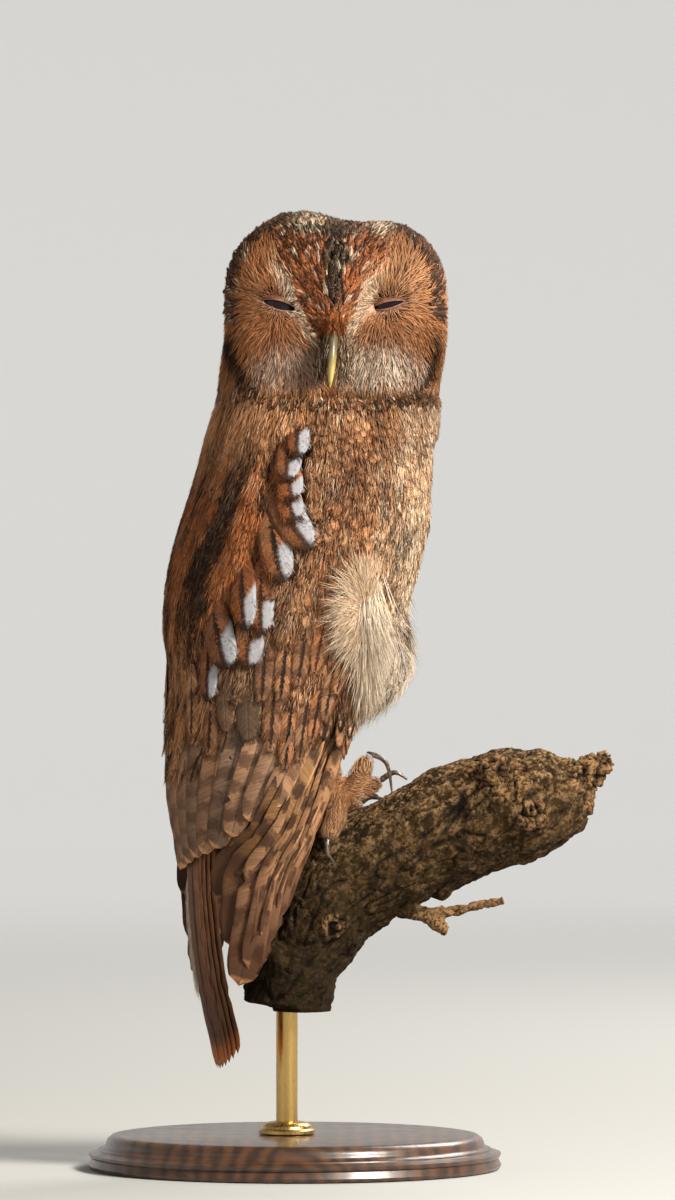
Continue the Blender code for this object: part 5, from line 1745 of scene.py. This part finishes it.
def make_lids():
    lid = Finish("lid_skin")
    crease = lid.noise(0.7, 3, stretch=(0.4, 1.0, 1.6))
    colour = lid.mix(crease.rise(0.3, 0.7) * 0.5, lid.attribute("ground", "Color"), (0.05, 0.02, 0.018, 1))
    lid.set(Base_Color=colour, Roughness=0.42, Normal=lid.bump(crease, 0.35))
    for side, centre in EYES.items():
        bm = bmesh.new()
        ground = bm.verts.layers.float_vector.new("ground")
        ring = bmesh.ops.create_circle(bm, segments=56, radius=1)["verts"]
        edges = bm.edges[:]
        for number, (out, over) in enumerate(LID_RINGS):
            if number:
                ring, edges = next_ring(bm, edges)
            for vert in ring:
                turn = vert[ground][0] if number else math.atan2(vert.co.y, vert.co.x)
                vert[ground] = (turn, out, over)
        for vert in bm.verts:
            turn, out, over = vert[ground]
            x, z = slit_edge(side, turn, out)
            radius, far = EYE_RADIUS + 0.35 + over, math.hypot(x, z)
            near = min(far, radius * 0.985)
            scale = near / max(far, 1e-6)
            vert.co = (Vector(centre) + Vector((x * scale, -math.sqrt(radius**2 - near**2), z * scale))) * MM
            shade = tone(142, 98, 94) if out < 0.42 else tone(140, 88, 56)
            if out < -0.3:
                shade = tone(40, 24, 26)
            vert[ground] = shade[:3]
        bmesh.ops.recalc_face_normals(bm, faces=bm.faces)
        if sum(f.normal.y for f in bm.faces) > 0:
            bmesh.ops.reverse_faces(bm, faces=bm.faces)
        lids = piece_from(bm, f"lids_{side}")
        wall = lids.modifiers.new("wall", "SOLIDIFY")
        wall.thickness, wall.offset = 0.3 * MM, -1
        finished(baked(lids), ["eyelids_" + side], lid)


make_lids()

# %% Bill
BILL_UPPER = (  # x, y, z and radius of the horn's line, in millimetres
    (18.0, -41.5, 389.0, 4.2), (17.9, -47.5, 386.5, 3.9), (17.6, -53.0, 380.0, 3.3),
    (17.2, -55.6, 372.5, 2.7), (16.7, -55.3, 366.0, 1.9), (16.4, -53.6, 361.6, 0.5),
)  # fmt: skip
BILL_LOWER = ((17.4, -45.5, 377.5, 3.2), (17.2, -48.8, 371.8, 2.6), (16.9, -51.0, 367.4, 1.2))
BILL_FLATNESS = 0.66


def horn(name, rows, replaced, finish):
    """A tapering tube through rows of a line, closed at both ends."""
    rows = np.array(rows)
    keys, last = np.arange(len(rows)), len(rows) - 1
    dense = np.linspace(0, last, last * 8 + 1)
    line = np.stack([curve_through(np.stack([keys, rows[:, n]], 1), dense) for n in range(4)], axis=1)
    way = unit(np.gradient(line[:, :3], axis=0))
    aside = along_surface(np.array((1.0, 0.0, 0.0)), way)
    up = np.cross(way, aside)
    bm = bmesh.new()
    ring = bmesh.ops.create_circle(bm, segments=20, radius=1, cap_ends=True)["verts"]
    turns = {v: math.atan2(v.co.y, v.co.x) for v in ring}
    edges = bm.edges[:]
    for row in range(len(line)):
        if row:
            fresh, edges = next_ring(bm, edges)
            turns = {v: turns[min(turns, key=lambda old: (old.co - v.co).length_squared)] for v in fresh}
        radius = max(line[row, 3], 0.05)
        for vert, turn in turns.items():
            flat, tall = radius * BILL_FLATNESS * math.cos(turn), radius * math.sin(turn)
            vert.co = Vector(line[row, :3] + aside[row] * flat + up[row] * tall) * MM
    bmesh.ops.contextual_create(bm, geom=edges)
    bmesh.ops.recalc_face_normals(bm, faces=bm.faces)
    finished(piece_from(bm, name), [replaced], finish)


def bill_finish():
    f = Finish("bill_horn")
    z = f.parts(f.place())[2]
    streak = f.noise(1.4, 4, stretch=(1.0, 1.0, 0.25))
    colour = f.over(
        f.mix(streak.rise(0.3, 0.7), tone(128, 116, 66), tone(168, 152, 92)),
        (z.rise(0.364, 0.376, 1.0, 0.0), tone(186, 168, 88)), (z.rise(0.371, 0.381), tone(92, 80, 58)),
    )  # fmt: skip
    return f.set(Base_Color=colour, Roughness=0.34, Normal=f.bump(streak, 0.12), Coat_Weight=0.25)


BILL_HORN = bill_finish()
horn("bill_upper_horn", BILL_UPPER, "bill_upper", BILL_HORN)
horn("bill_lower_horn", BILL_LOWER, "bill_lower", BILL_HORN)


# %% Claws
def claw_finish():
    f = Finish("claw_horn")
    streak = f.noise(0.9, 3, stretch=(0.5, 0.5, 0.5))
    colour = f.mix(streak.rise(0.35, 0.65), tone(44, 34, 28), tone(92, 74, 58))
    return f.set(Base_Color=colour, Roughness=0.28, Normal=f.bump(streak, 0.08), Coat_Weight=0.3)


CLAW_HORN = claw_finish()
for side, number in itertools.product(SIDES, range(1, 5)):
    node = f"claw_{side}_{number}"
    claw = joined_copy([node], f"talon_{side}_{number}", 0.42)
    smooth = claw.modifiers.new("smooth", "SUBSURF")
    smooth.levels = smooth.render_levels = 2
    finished(baked(claw), [node], CLAW_HORN)

# %% [markdown]
# ## Down on the legs and feet, and the flank's plumes
# The shanks and toes wear short dense tufts. On the flank a fan of loose cream plumes curls out over
# the wing's edge: each is a fine spike, bent a little, and thousands of them make the softness.

# %% Legs and feet
PALMS = {"right": (20.0, -15.0, 176.0), "left": (9.0, 14.0, 171.0)}


def leg_lie(points, normals):
    """Down the shank, then out along the toes, which lead away from the palm."""
    palm = np.where((points[..., 1] < 0)[..., None], PALMS["right"], PALMS["left"])
    low = 1 - ramp(178, 190, points[..., 2])
    outward = unit(unit(points - palm) + 0.25 * DOWN)
    return along_surface(times(1 - low, DOWN) + times(low, outward), normals)


def leg_map(points):
    return spread(np.arctan2(points[:, 1], points[:, 0] - 15), points[:, 2])


def lay_leg_tufts():
    names = [name for name in FLESH if name[:4] in ("foot", "leg_")]
    legs = Surface(remeshed(joined_copy(names, "leg_form", 0.3), 1.3, 3))
    found = scatter(legs, 31, lambda points: 0.82 + 1.0 * ramp(183, 200, points[:, 2]), between(0, 215))
    draw = np.random.default_rng(31)
    count = len(found)
    shank = ramp(180, 200, found[:, 2])
    length = (3.6 + 6.5 * shank) * (0.8 + 0.4 * draw.random(count))
    proud = 0.4 + 0.9 * draw.random(count)
    yaw = np.radians(draw.normal(0, 10, count))
    ground = layered(
        blend(mottle(found, 4.0, 12), tone(156, 106, 68), tone(208, 164, 122)),
        (ramp(0.6, 0.8, mottle(found, 2.4, 13)) * 0.3, CHESTNUT),
    )  # fmt: skip
    lay(
        {"leg_tufts": ALL}, TUFT, found, length, 0.55 + 0.6 * shank, leg_lie, 0.7, proud,
        {"ground": ground}, DOWN_TUFT, "feather_pale", leg_map, yaw=yaw, surface=legs,
    )  # fmt: skip


# %% Down and plumes of the flank
PLUME_GROUPS = (  # number, start and end of the line of roots, spread, headings in degrees, lengths, how pale
    (700, (39, 266), (45, 251), 3.0, (80, 212), (15, 27), 0.40),
    (560, (40, 264), (46, 245), 4.0, (185, 262), (14, 26), 0.45),
    (900, (43, 274), (58, 252), 3.5, (252, 296), (18, 32), 0.80),
    (760, (48, 258), (58, 234), 3.8, (246, 290), (15, 30), 0.75),
    (300, (45, 242), (55, 226), 3.0, (236, 284), (14, 26), 0.55),
    (90, (54, 262), (60, 238), 2.0, (286, 326), (10, 18), 0.85),
    (80, (46, 238), (58, 226), 2.0, (256, 300), (13, 23), 0.95),
)


def lay_flank_down():
    """The soft ground of down that the plumes stand in, in front of the wing's edge."""
    found = scatter(form, 45, 1.5, between(209, 282), density=3.0)
    found = found[body_coat(found)["fluff"] > 0.45]
    found = found[open_to_air(found)]
    draw = np.random.default_rng(46)
    count = len(found)
    length = 9 + 9 * draw.random(count)
    proud = 1.0 + 4.5 * draw.random(count) ** 2
    yaw = np.radians(draw.normal(0, 18, count) + 90 * (mottle(found, 6.0, 48) - 0.5))
    z, degrees = round_body(found)
    around = body_point(0 * z + 280, degrees)
    strokes = mottle(np.stack([around[:, 0], around[:, 1], z * 0.25], 1), 4.4, 47)
    ground = layered(
        blend(draw.random(count), tone(216, 182, 142), tone(246, 234, 214)),
        (ramp(0.5, 0.75, mottle(found, 3.5, 49)) * 0.45, tone(160, 122, 88)),
        (0.35, body_coat(found)["ground"]),
        (ramp(0.54, 0.62, strokes) * (1 - ramp(20, 29, abs(degrees))) * 0.85, UMBER),
    )  # fmt: skip
    lay(
        {"flank_down": ALL}, LONG_TUFT, found, length, 0.8, body_lie, 1.0, proud, {"ground": ground},
        DOWN_TUFT, "feather_pale", body_map, yaw=yaw,
    )  # fmt: skip


def lay_plumes():
    draw = np.random.default_rng(41)
    groups = []
    for count, start, end, loose, (least, most), (short, long), pale in PLUME_GROUPS:
        at = draw.random(count)[:, None]
        place = np.array(start) * (1 - at) + np.array(end) * at + draw.normal(0, loose, (count, 2))
        groups.append((
            np.stack([place[:, 0], np.full(count, -60.0), place[:, 1]], 1),
            np.radians(least + (most - least) * draw.random(count)),
            short + (long - short) * draw.random(count),
            np.clip(pale + draw.normal(0, 0.2, count), 0, 1),
        ))  # fmt: skip
    starts, heading, length, pale = (np.concatenate(column) for column in zip(*groups))
    starts = form.nearest(starts)[0]
    aim = np.stack([np.cos(heading), 0 * heading, np.sin(heading)], 1)
    count = len(starts)
    lift = (1.5 + 5.0 * draw.random(count)) * length / 18
    width = 0.62 + 0.35 * draw.random(count)
    ground = blend(pale, tone(206, 164, 122), tone(248, 234, 212))
    # the further along a hair and the more level it lies, the lower it sinks
    sunk = 0.16 * length[:, None] * np.clip(LONG_TUFT.points[:, 1], 0, 1) ** 2 * (1 - abs(aim[:, 2:]))
    for title, sign in SIDES.items():
        here = starts if sign > 0 else form.nearest(mirrored(starts))[0]
        away = aim if sign > 0 else aim - times(2 * dot(aim, RIGHT), RIGHT)
        places = drape(
            LONG_TUFT, here, length, width, lambda points, normals: along_surface(away, normals), 1.0, lift,
            stations=5, curl=0.10,
        )  # fmt: skip
        places[..., 2] -= sunk
        kept = draw.random(count) < (1.0 if sign > 0 else 0.5)  # the far flank is smoother
        joined(
            f"flank_plumes_{title}", LONG_TUFT, places[kept], body_map(here[kept]), {"ground": ground[kept]},
            DOWN_TUFT,
        )  # fmt: skip


def lay_tail_fringe():
    """Pale loose hairs behind the far edge of the tail's upper part."""
    draw = np.random.default_rng(43)
    count = 420
    height = 137 - 46 * draw.random(count)
    start = tail_point(height, -0.95 + 0.6 * draw.random(count), 0.8)
    length = 9 + 7 * draw.random(count)
    proud = 0.6 + 1.5 * draw.random(count)
    ground = blend(draw.random(count), tone(150, 126, 104), tone(240, 226, 204))
    lay(
        {"tail_fringe": ALL}, LONG_TUFT, start, length, 0.8,
        lambda points, normals: unit(DOWN - 0.10 * AHEAD + 0 * points), 0.2, proud, {"ground": ground},
        DOWN_TUFT, "feather_pale", lambda points: spread(points[:, 1], points[:, 2]), stations=5,
    )  # fmt: skip


lay_leg_tufts()
lay_flank_down()
lay_plumes()
lay_tail_fringe()

# %% [markdown]
# ## The limb
# An old cut branch: rough bark with cracks along it, crumbled burrs with dark pits, pale flakes and torn
# wood at the broken end. The pits are dark partly in the bark's own colour and partly as painted shade;
# the flakes are paler on the upper side as painted light, and painted shade darkens the lower part. The
# imported solid is remeshed finely and its points are pushed in and out by layered noise.

# %% Limb
ROD_END, LIMB_FOOT = 75.5, 73.4  # the limb is smooth below the first, and rests on the rod at the second
BURRS = (  # across, height, reach and rise of each crumbled burr on the near side
    (96, 183, 14, 3.0), (110, 165, 9, 2.6), (18, 114, 7, 1.8), (82, 187, 7, 1.4), (104, 176, 8, 2.0),
)  # fmt: skip


def make_limb():
    limb = remeshed(joined_copy(["perch_branch"], "limb", 0.0), 0.95, 6)
    surface = Surface(limb, keep=True)
    points, normals = surface.points, points_of(limb.data, "normal")
    x, y, z = points.T
    along = np.stack([x * 0.75 + z * 0.65, y, z * 0.75 - x * 0.65], 1)
    ridges = mottle(along * (0.3, 1, 1), 2.6, 51)
    lumps, fine = mottle(points, 11.0, 52), mottle(points, 1.7, 53)
    warped = along * (0.22, 1, 1) + 2.4 * (lumps[:, None] - 0.5)
    cracks = np.minimum(abs(mottle(warped, 5.0, 54) - 0.5), abs(mottle(warped, 3.2, 57) - 0.5) + 0.02)
    # burrs stand up with a crumbled face, so noise there is deeper
    burr = face = 0.0 * lumps
    for burr_x, burr_z, reach, tall in BURRS:
        far = np.linalg.norm(points - surface.from_side(burr_x, burr_z), axis=1) / reach
        burr = burr + tall * (1 - ramp(0.5, 1.2, far))
        face = np.maximum(face, 1 - ramp(0.70, 1.05, far))
    rough = np.maximum(face, ramp(126, 134, x + 0.5 * (z - 175)))
    gaps = 1 - ramp(0.0, 0.10, abs(mottle(points, 6.0, 55) - 0.5))
    gaps = gaps + 0.6 * (1 - ramp(0.0, 0.12, abs(mottle(points, 3.0, 56) - 0.5)))
    crumbs = 0.35 * (mottle(points, 4.2, 58) - 0.35) - 0.42 * np.clip(gaps, 0, 1)
    height = 1.3 * (ridges - 0.5) + 1.8 * (lumps - 0.5) + 0.8 * (fine - 0.5) + burr + rough * 6.5 * crumbs
    height = height - 1.3 * (1 - ramp(0.0, 0.07, cracks))
    height = np.where(z < ROD_END, 0.35, height * ramp(73.5, 80, z))
    points = points + times(height - 0.35, normals)
    points[:, 2] = np.where(points[:, 2] < ROD_END - 0.5, LIMB_FOOT, points[:, 2])
    move_points(limb.data, points)
    # pits: dark in the cracks, between the ridges and in the crumbled gaps, where the points were pushed in;
    # partly the bark's own dark and partly painted shade in these hollows
    pits = (1 - ramp(0.0, 0.06, cracks)) * 0.8 + 0.35 * (1 - ramp(0.2, 0.45, ridges))
    pits = pits + rough * (1 - ramp(-0.30, -0.05, crumbs))
    x, _, z = points.T
    twig = ramp(0, 3, 118 + 0.42 * (x - 50) - z) * ramp(50, 56, x)
    # the third channel is how far each point faces up, used for painted light on the limb's top
    marks = [np.clip(pits * (1 - 0.7 * twig), 0, 1), np.maximum(rough, 1.3 * twig), normals[:, 2]]
    paint(limb.data, np.stack(marks, 1), "bark")
    return limb


def bark_finish():
    f = Finish("old_bark")
    pit, torn, top_light = f.parts(f.attribute("bark"))
    z = f.parts(f.place())[2]
    big, small = f.noise(9, 5, 0.65), f.noise(1.6, 4, 0.7)
    flakes = small * 0.5 + f.noise(4.5, 4, 0.6) * 0.5
    moss = f.noise(6, 3).rise(0.52, 0.68) * (1.0 - z.rise(0.12, 0.19))
    colour = f.over(
        f.mix(big.rise(0.35, 0.68), tone(44, 31, 14), tone(84, 61, 34)),
        # pale flakes of the bark's own, made paler on faces that point up as painted light
        (flakes.rise(0.47, 0.60) * (0.35 + top_light.rise(-0.1, 0.9) * 0.6), tone(150, 120, 86)),
        ((1.0 - small.rise(0.36, 0.47)) * 0.7, tone(26, 18, 6)),
        ((torn * small.rise(0.35, 0.6) * 0.75).rise(0.0, 1.0), tone(144, 110, 76)),
        # painted shade: the bark darker towards the bottom, less so on torn wood
        ((1.0 - z.rise(0.08, 0.19)) * (1.0 - torn * 0.7) * 0.85, tone(28, 20, 9)),
        # the pits' dark: partly the bark's own, partly painted shade in the hollows
        (pit * 0.92, tone(16, 11, 7)), (moss * 0.2, tone(62, 58, 26)),
    )  # fmt: skip
    bump = f.bump(small * 0.6 + big * 0.4, 1.4)
    return f.set(Base_Color=colour, Roughness=0.93, Normal=bump, Specular_IOR_Level=0.12)


finished(make_limb(), ["perch_branch"], bark_finish())

# %% [markdown]
# ## The stand
# A turned wooden foot with a bead round its rim, and a brass rod that stands in a small collar. Each
# is spun from a profile, as a turner would cut it.

# %% Turned pieces
def turned(name, profile, middle, replaced, finish, steps):
    """Spins a profile of (radius, height) rows round an upright line at middle, in millimetres."""
    bm = bmesh.new()
    verts = [bm.verts.new(Vector((middle[0] + radius, middle[1], height)) * MM) for radius, height in profile]
    spun(bm, verts, Vector((*middle, 0)) * MM, steps)
    piece = piece_from(bm, name)
    piece.data.set_sharp_from_angle(angle=math.radians(40))
    finished(piece, [replaced], finish)


def wood_finish():
    f = Finish("dark_turned_wood")
    rings = f.node(
        "ShaderNodeTexWave", {"wave_type": "RINGS", "rings_direction": "Y"},
        {"Vector": f.place(), "Scale": 42.0, "Distortion": 5.0, "Detail": 3.0, "Detail Scale": 1.6}, out=1,
    )  # fmt: skip
    pores = f.noise(1.2, 3, stretch=(0.06, 1.0, 1.0))
    colour = f.mix(rings, tone(54, 36, 25), tone(84, 56, 38))
    colour = f.mix(pores.rise(0.55, 0.7) * 0.6, colour, tone(30, 20, 14))
    f.set(Base_Color=colour, Roughness=pores.rise(0.3, 0.7, 0.30, 0.42), Normal=f.bump(pores, 0.06))
    return f.set(Coat_Weight=0.35, Coat_Roughness=0.18)


def brass_finish():
    f = Finish("brushed_brass")
    brushed = f.noise(0.6, 3, stretch=(1.0, 1.0, 0.05))
    f.set(Base_Color=f.mix(brushed, tone(176, 142, 82), tone(206, 172, 108)), Metallic=1.0)
    return f.set(Roughness=brushed.rise(0.3, 0.7, 0.24, 0.38), Normal=f.bump(brushed, 0.03))


BRASS = brass_finish()
base, rod, collar = (box_mm(node) for node in ("stand_base", "stand_rod", "stand_collar"))
BASE_OUT, ROD_OUT, COLLAR_OUT = ((high[0] - low[0]) / 2 for low, high in (base, rod, collar))
BASE_TOP, ROD_FOOT, ROD_TOP, COLLAR_FOOT = base[1][2], rod[0][2], rod[1][2], collar[0][2]
ROD_MIDDLE = (rod[0] + rod[1])[:2] / 2
turned(
    "base_turned",
    [(0.0, 0.0), (BASE_OUT - 2.0, 0.0), (BASE_OUT - 0.6, 0.6), (BASE_OUT, 2.0)]
    + [(BASE_OUT - 1.8 + 1.6 * math.sin(t), 7.6 - 2.6 * math.cos(t)) for t in np.linspace(0.2, 1.5, 6)]
    + [(BASE_OUT - 3.2, 8.2), (BASE_OUT - 4.6, 8.8)]
    + [(BASE_OUT - 4.8 - 3.4 * math.sin(t), 12.8 - 3.4 * math.cos(t)) for t in np.linspace(0, 1.5, 7)]
    + [(BASE_OUT - 9.0, 14.2), (BASE_OUT - 11.0, 15.6), (BASE_OUT - 14.0, BASE_TOP), (0.0, BASE_TOP)],
    (0.0, 0.0), "stand_base", wood_finish(), 120,
)  # fmt: skip
turned(
    "rod_turned",
    [(0.0, ROD_FOOT), (ROD_OUT, ROD_FOOT), (ROD_OUT, ROD_TOP - 0.4), (ROD_OUT - 0.4, ROD_TOP)]
    + [(0.0, ROD_TOP)],
    ROD_MIDDLE, "stand_rod", BRASS, 48,
)  # fmt: skip
turned(
    "collar_turned",
    [(ROD_OUT + 0.3, COLLAR_FOOT), (COLLAR_OUT - 0.4, COLLAR_FOOT), (COLLAR_OUT, COLLAR_FOOT + 0.4)]
    + [(COLLAR_OUT, COLLAR_FOOT + 1.8), (COLLAR_OUT - 1.0, COLLAR_FOOT + 2.4)]
    + [(ROD_OUT + 1.4 + (COLLAR_OUT - ROD_OUT - 2.6) * math.cos(t), COLLAR_FOOT + 2.6 + 3.2 * math.sin(t))
       for t in np.linspace(0, 1.5, 8)]
    + [(ROD_OUT + 0.3, collar[1][2]), (ROD_OUT + 0.3, COLLAR_FOOT)],
    ROD_MIDDLE, "stand_collar", BRASS, 64,
)  # fmt: skip
